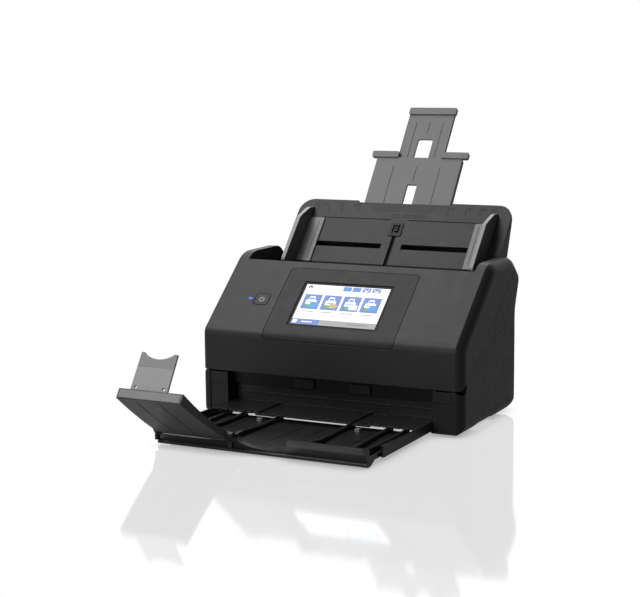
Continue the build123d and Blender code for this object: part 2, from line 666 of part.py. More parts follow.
with BuildPart() as drive_belt:
    extrude(belt_loop(BELT_GAP + BELT_THICK), amount=2 * PULLEY_HALF - 2.4, dir=(1, 0, 0))
    extrude(belt_loop(BELT_GAP), amount=2 * PULLEY_HALF - 2.4, dir=(1, 0, 0), mode=Mode.SUBTRACT)
save(drive_belt, "drive_belt")

# Chips and sockets on the board: (X, Z, width, height, how far each one stands off)
BOARD_PARTS = [(-20, 78, 22, 22, 1.8), (10, 60, 12, 16, 2.0), (-88, 84, 14, 10, 6.0), (-5, 44, 30, 8, 5.0)]
with BuildPart() as main_board:
    add(brick((-108.0, 40.0), (62.0, 63.6), (36.0, 100.0)))
    for x, z, wide, tall, high in BOARD_PARTS:
        add(brick((x - wide / 2, x + wide / 2), (62.0 - high, 62.0), (z - tall / 2, z + tall / 2)))
    with BuildSketch(Plane.XZ.offset(-62.0)):
        with Locations((-104, 40), (-104, 96), (36, 40), (36, 96)):
            Circle(1.7)
    extrude(amount=-2, mode=Mode.SUBTRACT)
save(main_board, "main_board")

with BuildPart() as usb_port:
    add(brick((USB_X - 6.0, USB_X + 6.0), (63.6, 77.6), (USB_Z - 5.5, USB_Z + 5.5)))
    add(brick((USB_X - 4.3, USB_X + 4.3), (68.0, 80.0), (USB_Z - 3.9, USB_Z + 3.9)), mode=Mode.SUBTRACT)
    add(brick((USB_X - 2.8, USB_X + 2.8), (67.0, 76.6), (USB_Z - 1.6, USB_Z + 1.6)))
save(usb_port, "usb_port")

with BuildPart() as power_jack:
    add(brick((JACK_X - 5.4, JACK_X + 5.4), (63.6, 77.6), (JACK_Z - 5.4, JACK_Z + 5.4)))
    with BuildSketch(Plane.XZ.offset(-77.6)):
        with Locations((JACK_X, JACK_Z)):
            Circle(JACK_RADIUS)
    extrude(amount=10.0, mode=Mode.SUBTRACT)
save(power_jack, "power_jack")

# Input tray: front plate, back cover, guides with racks and pinion, extensions


def tray_solid(points, x_from, x_to):
    """A solid along X whose outline is given on the tray, as (run, depth behind its face)."""
    return prism([on_tray(run, -depth) for run, depth in points], x_from, x_to)


def tray_box(x, run, lift, radius=0.0):
    """A box on the tray's face."""
    return plate(TRAY, x, run, lift, radius)


tray_wedge = [
    (-0.2, 0), (TRAY_LENGTH, 0), (TRAY_LENGTH, 4.6), (70.0, 4.6), (26.7, 20.5), (6.6, 21.67), (-5.0, 8.0),
]
tray_hollow = [(2.0, 3.0), (69.0, 3.0), (25.5, 18.6), (8.0, 19.6)]
with BuildPart(mode=Mode.PRIVATE) as tray_plan:
    with BuildSketch(TRAY.offset(-40)):
        with Locations((0, (TRAY_LENGTH - 30) / 2)):
            Rectangle(2 * TRAY_HALF, TRAY_LENGTH + 30)
        for side in (-1, 1):
            with Locations((side * (TRAY_LOW_HALF + 10), 3)):
                Rectangle(20, 30, mode=Mode.SUBTRACT)
    extrude(amount=50)
    top_corners = tray_plan.edges().filter_by(Axis(TRAY.origin, TRAY.z_dir)).group_by(Axis.Z)[-1]
    fillet(top_corners, 17.0)
hump = plate(EXT, (-58.0, 58.0), (-84.0, 2.1), (-8.4, 0.0), 0.0)
behind_face = tray_box((-130, 130), (-40, TRAY_LENGTH), (-60, 0))
tray_disc = rod(TRAY_PIVOT, TRAY_DISC, -TRAY_LOW_HALF, TRAY_LOW_HALF)
tray_body = (tray_solid(tray_wedge, -TRAY_HALF, TRAY_HALF) & tray_plan.part) + (tray_disc & behind_face)
tray_body = tray_body + (hump & behind_face & prism(
    [on_tray(1.0, 5), on_tray(TRAY_LENGTH, 5), on_tray(TRAY_LENGTH, -40), on_tray(6.6, -21.6)], -60, 60))
channel = plate(EXT, (-52.6, 52.6), (-83.0, 12.0), (-6.7, 0.3))
tray_hollow_solid = tray_solid(tray_hollow, -125.4, 125.4) & tray_box((-119.4, 119.4), (-9, 90), (-60, 10))
tray_hollow_solid = tray_hollow_solid + (
    tray_solid(tray_hollow, -125.4, 125.4) & tray_box((-125.4, 125.4), (20.5, 66.0), (-60, 10)))
SPLIT = 3.4
SLOT = ((12.1, 105.6), (20.6, 27.2))
RECESS = [(57.0, 84.5), (52.6, 78.6), (40.0, 78.4), (34.5, 72.0), (26.0, 70.2)]
recess_outline = RECESS + [(-x, run) for x, run in reversed(RECESS)]
CLIP = ((-7.2, 7.2), (38.0, 55.0))

with BuildPart() as input_tray:
    add(tray_body & tray_box((-130, 130), (-40, 90), (-SPLIT, 10)))
    add(tray_hollow_solid, mode=Mode.SUBTRACT)
    add(channel, mode=Mode.SUBTRACT)
    with BuildSketch(TRAY.offset(-8)):
        with BuildLine():
            Polyline(*recess_outline, close=True)
        make_face()
    extrude(amount=10, mode=Mode.SUBTRACT)
    for side in (-1, 1):
        low, high = sorted((side * SLOT[0][0], side * SLOT[0][1]))
        add(tray_box((low, high), SLOT[1], (-10, 3)), mode=Mode.SUBTRACT)
        low, high = sorted((side * 10.5, side * 94.0))
        add(tray_box((low, high), (59.1, 60.0), (-0.6, 1)), mode=Mode.SUBTRACT)
    add(tray_box((-2.2, 2.2), (-12.0, 37.6), (-1.7, 1)), mode=Mode.SUBTRACT)
    add(tray_box((CLIP[0][0] - 0.3, CLIP[0][1] + 0.3), (CLIP[1][0] - 0.3, CLIP[1][1] + 0.3), (-1.6, 3), 1.3),
        mode=Mode.SUBTRACT)
    with BuildSketch(TRAY.offset(-8.2)):
        with Locations((0, PINION_T)):
            Circle(2.0)
    extrude(amount=5.4)
    add(rod(TRAY_PIVOT, 3.06, -130, 130), mode=Mode.SUBTRACT)
save(input_tray, "input_tray")

with BuildPart() as tray_back_cover:
    add(tray_body & tray_box((-130, 130), (-40, 90), (-60, -SPLIT - 0.05)))
    add(tray_hollow_solid, mode=Mode.SUBTRACT)
    add(channel, mode=Mode.SUBTRACT)
    add(rod(TRAY_PIVOT, 3.06, -130, 130), mode=Mode.SUBTRACT)
save(tray_back_cover, "tray_back_cover")

with BuildPart() as tray_clip:
    add(tray_box(CLIP[0], CLIP[1], (-1.5, 0.9), 1.2))
    add(tray_box((-4.2, 4.2), (41.0, 52.5), (-0.4, 2), 1.0), mode=Mode.SUBTRACT)
    add(tray_box((-2.0, 2.0), (44.0, 52.8), (-0.6, 1.3)))
    add(tray_box((-0.9, 0.9), (46.5, 52.0), (0.2, 2)), mode=Mode.SUBTRACT)
save(tray_clip, "tray_clip")

# Rack and pinion that keep the two guides centred
PITCH_RADIUS = MODULE * PINION_TEETH / 2
PRESSURE = radians(20)
BASE_RADIUS = PITCH_RADIUS * cos(PRESSURE)
TIP_RADIUS = PITCH_RADIUS + 0.85
ROOT_RADIUS = PITCH_RADIUS - 0.95
BACKLASH = 0.2
RACK_TIP = 0.65
RACK_ROOT = 1.1
RACK_LIFT = (-7.0, -4.5)


def involute_half_angle(radius):
    """Half the angle that a tooth spans at a radius."""
    swing = acos(min(1.0, BASE_RADIUS / radius))
    at_pitch = (pi * MODULE / 2 - BACKLASH) / (2 * PITCH_RADIUS)
    return at_pitch + (tan(PRESSURE) - PRESSURE) - (tan(swing) - swing)


def polar(radius, angle):
    """A point around the pinion's centre."""
    return (radius * cos(angle), radius * sin(angle))


FLANK_STEPS = 5
PINION = Plane(TRAY.from_local_coords((0, PINION_T, 0)), x_dir=TRAY.x_dir, z_dir=TRAY.z_dir)
with BuildPart() as guide_pinion:
    with BuildSketch(PINION.offset(RACK_LIFT[0])):
        Circle(ROOT_RADIUS)
        for tooth in range(PINION_TEETH):
            middle = pi / 2 + tooth * 2 * pi / PINION_TEETH
            flank = [(ROOT_RADIUS - 0.2, involute_half_angle(BASE_RADIUS))]
            for step in range(FLANK_STEPS + 1):
                radius = BASE_RADIUS + (TIP_RADIUS - BASE_RADIUS) * step / FLANK_STEPS
                flank.append((radius, involute_half_angle(radius)))
            with BuildLine():
                Polyline(
                    *[polar(radius, middle + half) for radius, half in flank],
                    *[polar(radius, middle - half) for radius, half in reversed(flank)],
                    close=True,
                )
            make_face()
        Circle(2.06, mode=Mode.SUBTRACT)
    extrude(amount=RACK_LIFT[1] - RACK_LIFT[0])
save(guide_pinion, "guide_pinion")


def rack(side):
    """The left guide's rack runs above the pinion, and the right guide's below it."""
    up = -side
    pitch_line = PINION_T + up * PITCH_RADIUS
    pitch = pi * MODULE
    slant = tan(PRESSURE)
    half_pitch = pitch / 4 - BACKLASH / 2
    teeth = range(-32, 3) if side < 0 else range(-2, 33)
    low = min(teeth) * pitch
    high = max(teeth) * pitch + pitch
    with BuildPart(mode=Mode.PRIVATE) as bar:
        with BuildSketch(TRAY.offset(RACK_LIFT[0])):
            with Locations(((low + high) / 2, pitch_line + up * (RACK_ROOT + 2.2))):
                Rectangle(high - low, 4.4)
            for index in teeth:
                middle = (index + 0.5) * pitch
                root_half = half_pitch + RACK_ROOT * slant
                tip_half = half_pitch - RACK_TIP * slant
                with BuildLine():
                    Polyline(
                        (middle - root_half, pitch_line + up * (RACK_ROOT + 0.2)),
                        (middle - tip_half, pitch_line - up * RACK_TIP),
                        (middle + tip_half, pitch_line - up * RACK_TIP),
                        (middle + root_half, pitch_line + up * (RACK_ROOT + 0.2)),
                        close=True,
                    )
                make_face()
        extrude(amount=RACK_LIFT[1] - RACK_LIFT[0])
    return bar.part


FIN = [
    (-3.0, 0.25), (-16.0, 22.8), (-13.5, 23.6), (43.0, 22.6),
    (54.0, 16.5), (65.0, 9.6), (72.0, 1.0), (72.0, 0.25),
]


def edge_guide(side):
    """A side guide: fin, foot plate on the tray's face, neck through the slot, and rack."""
    def span(near, far):
        return tuple(sorted((side * near, side * far)))

    fin = prism([on_tray(run, lift) for run, lift in FIN], *span(GUIDE_X, GUIDE_X + 4.5))
    foot = tray_box(span(90.6, GUIDE_X + 4.5), (-1.5, 58.0), (0.25, 1.3), 0.0)
    neck = tray_box(span(95.0, 103.0), (21.4, 26.4), (-3.5, 0.4))
    reach = (21.4, PINION_T + 11.4) if side < 0 else (PINION_T - 11.4, 26.4)
    carriage = tray_box(span(94.0, 105.0), reach, (-4.4, -3.3))
    bar = rack(side)
    bridge_run = (PINION_T + 7.3, PINION_T + 11.4) if side < 0 else (PINION_T - 11.4, PINION_T - 7.3)
    bridge = tray_box(span(94.0, 105.0), bridge_run, (-7.0, -3.3))
    return fin + foot + neck + carriage + bar + bridge


for name, side in (("edge_guide_left", -1), ("edge_guide_right", 1)):
    with BuildPart() as guide:
        add(edge_guide(side))
    save(guide, name)

LOWER_THICK = 2.8
with BuildPart() as tray_extension_lower:
    add(plate(EXT, (-52.0, 52.0), (-22.0, 63.0), (-LOWER_THICK, 0.0)))
    for side in (-1, 1):
        low, high = sorted((side * 26.0, side * 58.6))
        add(plate(EXT, (low, high), (62.4, 70.2), (-LOWER_THICK, 1.6), 1.6))
        low, high = sorted((side * 28.2, side * 31.2))
        add(plate(EXT, (low, high), (-22.0, 62.0), (-6.2, -LOWER_THICK)))
        low, high = sorted((side * 25.8, side * 31.2))
        add(plate(EXT, (low, high), (-22.0, 62.0), (-6.2, -5.5)))
        line_x = side * 28.4
        add(plate(EXT, (line_x - 0.5, line_x + 0.5), (-8.0, 50.6), (-0.5, 1)), mode=Mode.SUBTRACT)
    add(plate(EXT, (-6.0, 6.0), (-6.0, 27.5), (-10, 2), 1.0), mode=Mode.SUBTRACT)
    add(plate(EXT, (-0.5, 0.5), (31.0, 50.6), (-0.5, 1)), mode=Mode.SUBTRACT)
save(tray_extension_lower, "tray_extension_lower")

with BuildPart() as tray_extension_upper:
    add(plate(EXT, (-27.6, 27.6), (42.0, 124.0), (-5.3, -3.0)))
    add(plate(EXT, (-29.0, 29.0), (122.6, 131.4), (-5.3, -1.2), 1.6))
    add(plate(EXT, (-9.0, 9.0), (50.0, 89.5), (-10, 2), 2.5), mode=Mode.SUBTRACT)
    for x, low in ((-16.4, 64.0), (0.0, 96.0), (16.4, 64.0)):
        add(plate(EXT, (x - 0.5, x + 0.5), (low, 112.0), (-3.5, 2)), mode=Mode.SUBTRACT)
save(tray_extension_upper, "tray_extension_upper")

# Output tray: the first section with its rails, the ribbed second section, flap and stopper

PLATE_FRONT, TRAY_REAR = -113.0, -46.0
BACK_WALL_Y = -60.4
RAIL_FOOT_FRONT = -150.0
RAIL_FRONT = -193.0
RAIL_TOE = -63.0
with BuildPart() as output_tray:
    add(brick((-44.5, 44.5), (PLATE_FRONT - 1.5, TRAY_REAR), (12.4, 14.2)))
    for side in (-1, 1):
        low, high = sorted((side * 42.0, side * 64.0))
        add(brick((low, high), (PLATE_FRONT, TRAY_REAR), (11.2, 12.8)))
        low, high = sorted((side * 62.0, side * RAIL_HALF))
        add(brick((low, high), (PLATE_FRONT + 1.0, TRAY_REAR), (12.4, 14.2)))
        low, high = sorted((side * 113.5, side * RAIL_HALF))
        rail = [(RAIL_TOE, 4.8), (RAIL_FRONT + 1.5, 4.8), (RAIL_FRONT, 6.0), (RAIL_FRONT, 16.6),
                (-150.0, 15.2), (PLATE_FRONT, 14.2), (TRAY_REAR, 14.2), (TRAY_REAR, 11.4)]
        add(prism(rail, low, high))
        low, high = sorted((side * 108.0, side * RAIL_HALF))
        add(brick((low, high), (RAIL_FOOT_FRONT, RAIL_TOE), (4.8, 5.6)))
        for x in (67.0, 76.5, 97.0, 108.0):
            add(brick((side * x - 0.8, side * x + 0.8), (PLATE_FRONT - 1, PLATE_FRONT + 4.5), (10.0, 15.0)),
                mode=Mode.SUBTRACT)
    add(brick((-RAIL_HALF, RAIL_HALF), (TRAY_REAR - 3.0, TRAY_REAR), (11.2, 14.2)))
    add(brick((-OUT_HALF, OUT_HALF), (BACK_WALL_Y - 1.6, BACK_WALL_Y), (12.4, 30.2)))
    add(brick((-OUT_HALF, OUT_HALF), (BACK_WALL_Y - 2.8, BACK_WALL_Y), (22.6, 24.0)))
save(output_tray, "output_tray")

LIP_BACK = -216.0
FLOOR_TOP = 7.2
TRAY2_REAR = -100.0
SCOOP = (-25.0, 34.0)
FLAP_X = (-109.6, -31.5)
# Ribs of the output tray: (X at the rear, X at the lip, width, height at the lip)
OUTPUT_RIBS = [(40.5, 47.0, 5.0, 17.0), (82.0, 92.0, 5.0, 15.5), (100.0, 105.0, 4.0, 15.5)]
RIB_REAR_TOP = 10.6
RIB_LOW_TOP = 11.4
lip_profile = [
    (LIP_BACK, 5.8), (LIP_BACK, 17.5), (-222.0, 20.0), (-229.2, 21.0), (-229.6, 19.8),
    (-226.6, 14.6), (-222.8, 9.4), (-219.2, 5.2), (-220.0, 4.0), (-220.0, 1.6), (-214.0, 1.6), (-205.0, 5.8),
]


def rib_outline(front_top, rear_top):
    """A fore and aft rib that dips in the middle and rises to the lip."""
    return [
        (LIP_BACK + 0.5, 6.4), (LIP_BACK + 0.5, front_top), (-200.0, front_top - 1.6),
        (-180.0, rear_top + 1.4), (-150.0, rear_top), (TRAY2_REAR, rear_top), (TRAY2_REAR, 6.4),
    ]


def flared_rib(x_rear, x_front, width, front_top, rear_top):
    """A rib whose front end turns outwards, cut from a plan strip and a side outline."""
    with BuildPart(mode=Mode.PRIVATE) as strip:
        with BuildSketch(Plane.XY):
            with BuildLine():
                edges = []
                for half in (-width / 2, width / 2):
                    line = Spline(
                        (x_rear + half, TRAY2_REAR), (x_rear + half, -150.0), (x_front + half, LIP_BACK + 0.5)
                    )
                    edges.append(line)
                Line(edges[0] @ 0, edges[1] @ 0)
                Line(edges[0] @ 1, edges[1] @ 1)
            make_face()
        extrude(amount=30)
    return strip.part & prism(rib_outline(front_top, rear_top), -OUT_HALF, OUT_HALF)


flap_seat_cut = prism(
    [(-240.0, 12.2), (-215.5, 12.2), (-215.5, 30.0), (-240.0, 30.0)], FLAP_X[0] - 0.4, FLAP_X[1] + 0.5
)
with BuildPart() as output_tray_extension:
    add(brick((-112.4, 112.4), (LIP_BACK, TRAY2_REAR), (5.8, FLOOR_TOP)))
    add(prism(lip_profile, -OUT_HALF, OUT_HALF))
    for side in (-1, 1):
        for x_rear, x_front, width, front_top in OUTPUT_RIBS:
            top = RIB_LOW_TOP if side < 0 else front_top
            add(flared_rib(side * x_rear, side * x_front, width, top, RIB_REAR_TOP))
        low, high = sorted((side * 111.2, side * 112.8))
        add(brick((low, high), (LIP_BACK, TRAY2_REAR), (5.8, 10.4)))
    add(flap_seat_cut, mode=Mode.SUBTRACT)
    with BuildSketch(Plane.XZ.offset(200.0)):
        with BuildLine():
            low_line = Spline((SCOOP[0], 24.0), (SCOOP[0] + 2.0, 17.5), (SCOOP[0] + 16.0, 9.4), (4.0, 7.6),
                              (SCOOP[1] - 8.0, 9.8), (SCOOP[1] - 1.0, 17.5), (SCOOP[1], 24.0))
            Line(low_line @ 1, low_line @ 0)
        make_face()
    extrude(amount=40, mode=Mode.SUBTRACT)
    for x_from, x_to in ((-OUT_HALF, FLAP_X[0] - 0.4), (FLAP_X[1] + 0.5, FLAP_X[1] + 4.5)):
        add(rod(FLAP_PIVOT, 4.2, x_from, x_to))
        add(brick((x_from, x_to), (FLAP_PIVOT[0] - 3.0, LIP_BACK + 1), (6.0, 17.0)))
    add(rod(FLAP_PIVOT, 1.5, -112.0, -20.0), mode=Mode.SUBTRACT)
save(output_tray_extension, "output_tray_extension")

# Output flap: a shallow curved panel on the lip, with a pocket for the folded stopper
FLAP_LOW = [(-225.0, 13.9), (-263.0, 37.5), (-299.5, 63.0)]
FLAP_HIGH = [(-293.2, 71.0), (-259.4, 43.6), (-223.5, 20.9)]
FLAP_FAR_X = (-105.5, -37.0)
STOPPER_PIVOT = (-289.9, 65.6)
FLAP_END_LEAN = 40.0
STOPPER_LEAN = 33.0
STOPPER_X = (-97.2, -56.8)
STOPPER_TALL = 41.9
STOPPER_HALF = 1.1
STOPPER_STEP = 27.0


def at_stopper(run, lift, angle):
    """A side view point near the stopper's pivot: run towards the flap's hinge, lift off the flap."""
    lean = radians(angle)
    y = STOPPER_PIVOT[0] + run * cos(lean) + lift * sin(lean)
    z = STOPPER_PIVOT[1] - run * sin(lean) + lift * cos(lean)
    return (y, z)


def stopper_box(run, lift, angle, x_from, x_to):
    """A box along X around the stopper's pivot, turned by an angle."""
    corners = [(run[0], lift[0]), (run[1], lift[0]), (run[1], lift[1]), (run[0], lift[1])]
    return prism([at_stopper(a, b, angle) for a, b in corners], x_from, x_to)


stopper_room = (STOPPER_X[0] - 0.6, STOPPER_X[1] + 0.6)
stopper_pocket = stopper_box((-2.6, 44.5), (-1.8, 9.0), FLAP_END_LEAN, *stopper_room)
stopper_groove = stopper_box(
    (STOPPER_HALF - 0.25, 3), (STOPPER_STEP - 0.3, STOPPER_STEP + 0.3), STOPPER_LEAN, -100, -40
)


with BuildPart() as output_flap:
    with BuildSketch(Plane.YZ.offset(FLAP_X[0])):
        with BuildLine():
            ThreePointArc(*FLAP_LOW)
            Line(FLAP_LOW[2], FLAP_HIGH[0])
            ThreePointArc(*FLAP_HIGH)
            Line(FLAP_HIGH[2], FLAP_LOW[0])
        make_face()
    extrude(amount=FLAP_X[1] - FLAP_X[0])
    with BuildSketch(Plane.XY):
        with BuildLine():
            Polyline((FLAP_X[0], -215.0), (FLAP_X[1], -215.0), (FLAP_X[1], -226.0), (FLAP_FAR_X[1], -305.0),
                     (FLAP_FAR_X[0], -305.0), (FLAP_X[0], -226.0), close=True)
        make_face()
    extrude(amount=100, mode=Mode.INTERSECT)
    fillet(output_flap.edges().group_by(Axis.Y)[0], 1.0)
    add(rod(FLAP_PIVOT, 4.2, *FLAP_X))
    add(rod(FLAP_PIVOT, 1.56, -120.0, -20.0), mode=Mode.SUBTRACT)
    add(stopper_pocket, mode=Mode.SUBTRACT)
    add(rod(STOPPER_PIVOT, 1.06, STOPPER_X[0] - 3.6, STOPPER_X[1] + 3.6), mode=Mode.SUBTRACT)
save(output_flap, "output_flap")

with BuildPart() as flap_pin:
    add(rod(FLAP_PIVOT, 1.5, -112.0, FLAP_X[1] + 4.4))
save(flap_pin, "flap_pin")

stopper_lean = radians(STOPPER_LEAN)
STOPPER = Plane((0, *STOPPER_PIVOT), x_dir=(1, 0, 0), z_dir=(0, -cos(stopper_lean), sin(stopper_lean)))
stopper_middle = sum(STOPPER_X) / 2
with BuildPart() as output_stopper:
    with BuildSketch(STOPPER.offset(-STOPPER_HALF)):
        with BuildLine():
            rim = Polyline(
                (STOPPER_X[0] + 4.0, STOPPER_TALL), (STOPPER_X[0] + 0.5, STOPPER_TALL), (STOPPER_X[0], 0.0),
                (STOPPER_X[1], 0.0), (STOPPER_X[1] - 0.5, STOPPER_TALL), (STOPPER_X[1] - 4.0, STOPPER_TALL),
            )
            ThreePointArc(rim @ 1, (stopper_middle, STOPPER_TALL - 6.0), rim @ 0)
        make_face()
        with Locations((stopper_middle, 6.8)):
            with GridLocations(30.5, 1, 2, 1):
                Circle(1.5, mode=Mode.SUBTRACT)
    extrude(amount=2 * STOPPER_HALF)
    add(rod(STOPPER_PIVOT, 1.5, *STOPPER_X))
    add(rod(STOPPER_PIVOT, 1.0, STOPPER_X[0] - 3.4, STOPPER_X[1] + 3.4))
    add(stopper_groove, mode=Mode.SUBTRACT)
save(output_stopper, "output_stopper")

# Small pieces: exit roller covers, paper sensor lever, cover release lever, floor screws

with BuildPart() as exit_roller_covers:
    for x in (-32.0, 32.0):
        add(brick((x - 12, x + 12), (-68.4, -66.2), (33.2, 42.2)))
    fillet(exit_roller_covers.edges().filter_by(Axis.Z), 0.8)
save(exit_roller_covers, "exit_roller_covers")

SENSOR_FINGER = [(-58.6, -9.0), (-56.0, -9.0), (-56.6, 4.5), (-58.6, 3.5)]
SENSOR_FLAG = [(-58.0, -8.0), (-56.0, -10.0), (-52.0, -20.0), (-55.0, -20.0)]
with BuildPart() as paper_sensor_lever:
    add(rod(SENSOR_AT, 2.4, 42.5, 57.5))
    add(prism([on_tray(*point) for point in SENSOR_FINGER], 48.8, 51.2))
    add(prism([on_tray(*point) for point in SENSOR_FLAG], 54.0, 56.4))
    add(rod(SENSOR_AT, 1.05, 30, 70), mode=Mode.SUBTRACT)
save(paper_sensor_lever, "paper_sensor_lever")

with BuildPart() as cover_release_lever:
    add(prism([below_shelf(y, drop) for y, drop in LEVER_TAB], *LEVER_X))
    add(prism([(33.5, LEVER_PIVOT[1]), *LEVER_HOOK, (38.0, LEVER_PIVOT[1])], -126.5, -123.0))
    add(rod(LEVER_PIVOT, 1.5, LEVER_X[0] - 1.5, LEVER_X[1] + 1.2))
save(cover_release_lever, "cover_release_lever")

with BuildPart() as case_screws:
    for x in SCREW_X:
        add(screw(x, SCREW_RADIUS))
save(case_screws, "case_screws")
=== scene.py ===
import math

import bmesh
import bpy
from mathutils import Matrix, Vector


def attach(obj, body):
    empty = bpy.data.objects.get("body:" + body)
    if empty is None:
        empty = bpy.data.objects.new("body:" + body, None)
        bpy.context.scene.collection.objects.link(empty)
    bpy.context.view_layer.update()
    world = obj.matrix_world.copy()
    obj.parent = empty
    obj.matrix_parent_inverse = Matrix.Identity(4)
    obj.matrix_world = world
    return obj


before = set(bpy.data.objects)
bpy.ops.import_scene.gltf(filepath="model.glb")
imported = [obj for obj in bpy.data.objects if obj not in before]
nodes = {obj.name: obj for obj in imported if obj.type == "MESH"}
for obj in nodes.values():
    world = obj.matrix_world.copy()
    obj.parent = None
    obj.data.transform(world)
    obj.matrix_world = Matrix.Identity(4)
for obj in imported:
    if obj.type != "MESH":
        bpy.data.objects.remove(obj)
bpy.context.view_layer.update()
MM = 0.001


# Node materials

def material(name):
    """A new node material: returns it with its nodes, links and shader."""
    mat = bpy.data.materials.new(name)
    mat.use_nodes = True
    tree = mat.node_tree
    return mat, tree.nodes, tree.links, tree.nodes["Principled BSDF"]


def noise(tree_nodes, links, coords, scale, detail=2.0):
    """A noise pattern with about scale features per metre."""
    node = tree_nodes.new("ShaderNodeTexNoise")
    node.inputs["Scale"].default_value = scale
    node.inputs["Detail"].default_value = detail
    links.new(coords, node.inputs["Vector"])
    return node.outputs["Fac"]


def remap(tree_nodes, links, value, low, high, source=(0.35, 0.65)):
    """A value of the source range, spread from low to high and held there."""
    node = tree_nodes.new("ShaderNodeMapRange")
    node.inputs["From Min"].default_value = source[0]
    node.inputs["From Max"].default_value = source[1]
    node.inputs["To Min"].default_value = low
    node.inputs["To Max"].default_value = high
    links.new(value, node.inputs["Value"])
    return node.outputs["Result"]


def blend_colors(tree_nodes, links, factor, dark, light):
    """A colour between dark and light."""
    node = tree_nodes.new("ShaderNodeMix")
    node.data_type = "RGBA"
    node.inputs["A"].default_value = (*dark, 1.0)
    node.inputs["B"].default_value = (*light, 1.0)
    links.new(factor, node.inputs["Factor"])
    return node.outputs["Result"]


def add_bump(tree_nodes, links, shader, height, strength, distance, edge=0.0):
    """Fine relief on a shader, with softened edges of radius edge if that is given."""
    bump = tree_nodes.new("ShaderNodeBump")
    bump.inputs["Strength"].default_value = strength
    bump.inputs["Distance"].default_value = distance
    links.new(height, bump.inputs["Height"])
    if edge:
        bevel = tree_nodes.new("ShaderNodeBevel")
        bevel.samples = 4
        bevel.inputs["Radius"].default_value = edge
        links.new(bevel.outputs["Normal"], bump.inputs["Normal"])
    links.new(bump.outputs["Normal"], shader.inputs["Normal"])


def plastic(name, color, rough, grain=0.0005, bump=0.25, edge=0.0004, specular=0.35, wear=0.25, tint=None):
    """Moulded plastic: spark eroded grain, soft tone drift, handling marks and slightly polished edges."""
    mat, tree_nodes, links, shader = material(name)
    coords = tree_nodes.new("ShaderNodeTexCoord").outputs["Object"]
    fine = noise(tree_nodes, links, coords, 1.0 / grain, 3.0)
    broad = noise(tree_nodes, links, coords, 14.0, 4.0)
    marks = noise(tree_nodes, links, coords, 90.0, 6.0)
    light = tint or tuple(min(1.0, c * (1.0 + wear)) for c in color)
    dark = tuple(c * (1.0 - 0.5 * wear) for c in color)
    tone = tree_nodes.new("ShaderNodeMath")
    tone.operation = "ADD"
    links.new(remap(tree_nodes, links, broad, 0.0, 0.35), tone.inputs[0])
    links.new(remap(tree_nodes, links, fine, 0.0, 0.65), tone.inputs[1])
    color_out = blend_colors(tree_nodes, links, tone.outputs["Value"], dark, light)
    links.new(color_out, shader.inputs["Base Color"])
    links.new(remap(tree_nodes, links, marks, rough - 0.02, rough + 0.03), shader.inputs["Roughness"])
    shader.inputs["Specular IOR Level"].default_value = specular
    add_bump(tree_nodes, links, shader, fine, bump, grain * 0.25, edge)
    return mat


def metal(name, color, rough, stretch=(1.0, 40.0, 40.0), scale=60.0, edge=0.0003):
    """Ground or rolled metal with fine directional lines."""
    mat, tree_nodes, links, shader = material(name)
    coords = tree_nodes.new("ShaderNodeTexCoord").outputs["Object"]
    mapping = tree_nodes.new("ShaderNodeMapping")
    mapping.inputs["Scale"].default_value = stretch
    links.new(coords, mapping.inputs["Vector"])
    lines = noise(tree_nodes, links, mapping.outputs["Vector"], scale, 4.0)
    shader.inputs["Metallic"].default_value = 1.0
    dark = tuple(c * 0.8 for c in color)
    links.new(blend_colors(tree_nodes, links, lines, dark, color), shader.inputs["Base Color"])
    links.new(remap(tree_nodes, links, lines, rough - 0.08, rough + 0.1), shader.inputs["Roughness"])
    add_bump(tree_nodes, links, shader, lines, 0.15, 0.00005, edge)
    return mat


def rubber(name, color, rough=0.75):
    """Soft rubber with a dusty bloom."""
    mat, tree_nodes, links, shader = material(name)
    coords = tree_nodes.new("ShaderNodeTexCoord").outputs["Object"]
    dust = noise(tree_nodes, links, coords, 240.0, 5.0)
    dusty = tuple(min(1.0, c * 1.8 + 0.01) for c in color)
    links.new(blend_colors(tree_nodes, links, dust, color, dusty), shader.inputs["Base Color"])
    links.new(remap(tree_nodes, links, dust, rough - 0.1, rough + 0.1), shader.inputs["Roughness"])
    shader.inputs["Specular IOR Level"].default_value = 0.25
    add_bump(tree_nodes, links, shader, noise(tree_nodes, links, coords, 2500.0), 0.3, 0.00008, 0.0003)
    return mat


def glowing(name, color, strength, rough=0.12):
    """A lit display area behind a hard, faintly smudged panel."""
    mat, tree_nodes, links, shader = material(name)
    coords = tree_nodes.new("ShaderNodeTexCoord").outputs["Object"]
    smudge = noise(tree_nodes, links, coords, 60.0, 3.0)
    shader.inputs["Base Color"].default_value = (*[c * 0.25 for c in color], 1.0)
    shader.inputs["Emission Color"].default_value = (*color, 1.0)
    shader.inputs["Emission Strength"].default_value = strength
    links.new(remap(tree_nodes, links, smudge, rough, rough + 0.12), shader.inputs["Roughness"])
    return mat


def clear_glass(name):
    """Faintly green scanner glass with light smudges."""
    mat, tree_nodes, links, shader = material(name)
    coords = tree_nodes.new("ShaderNodeTexCoord").outputs["Object"]
    smudge = noise(tree_nodes, links, coords, 80.0, 3.0)
    shader.inputs["Base Color"].default_value = (0.72, 0.82, 0.8, 1.0)
    shader.inputs["Transmission Weight"].default_value = 0.85
    links.new(remap(tree_nodes, links, smudge, 0.02, 0.1), shader.inputs["Roughness"])
    return mat


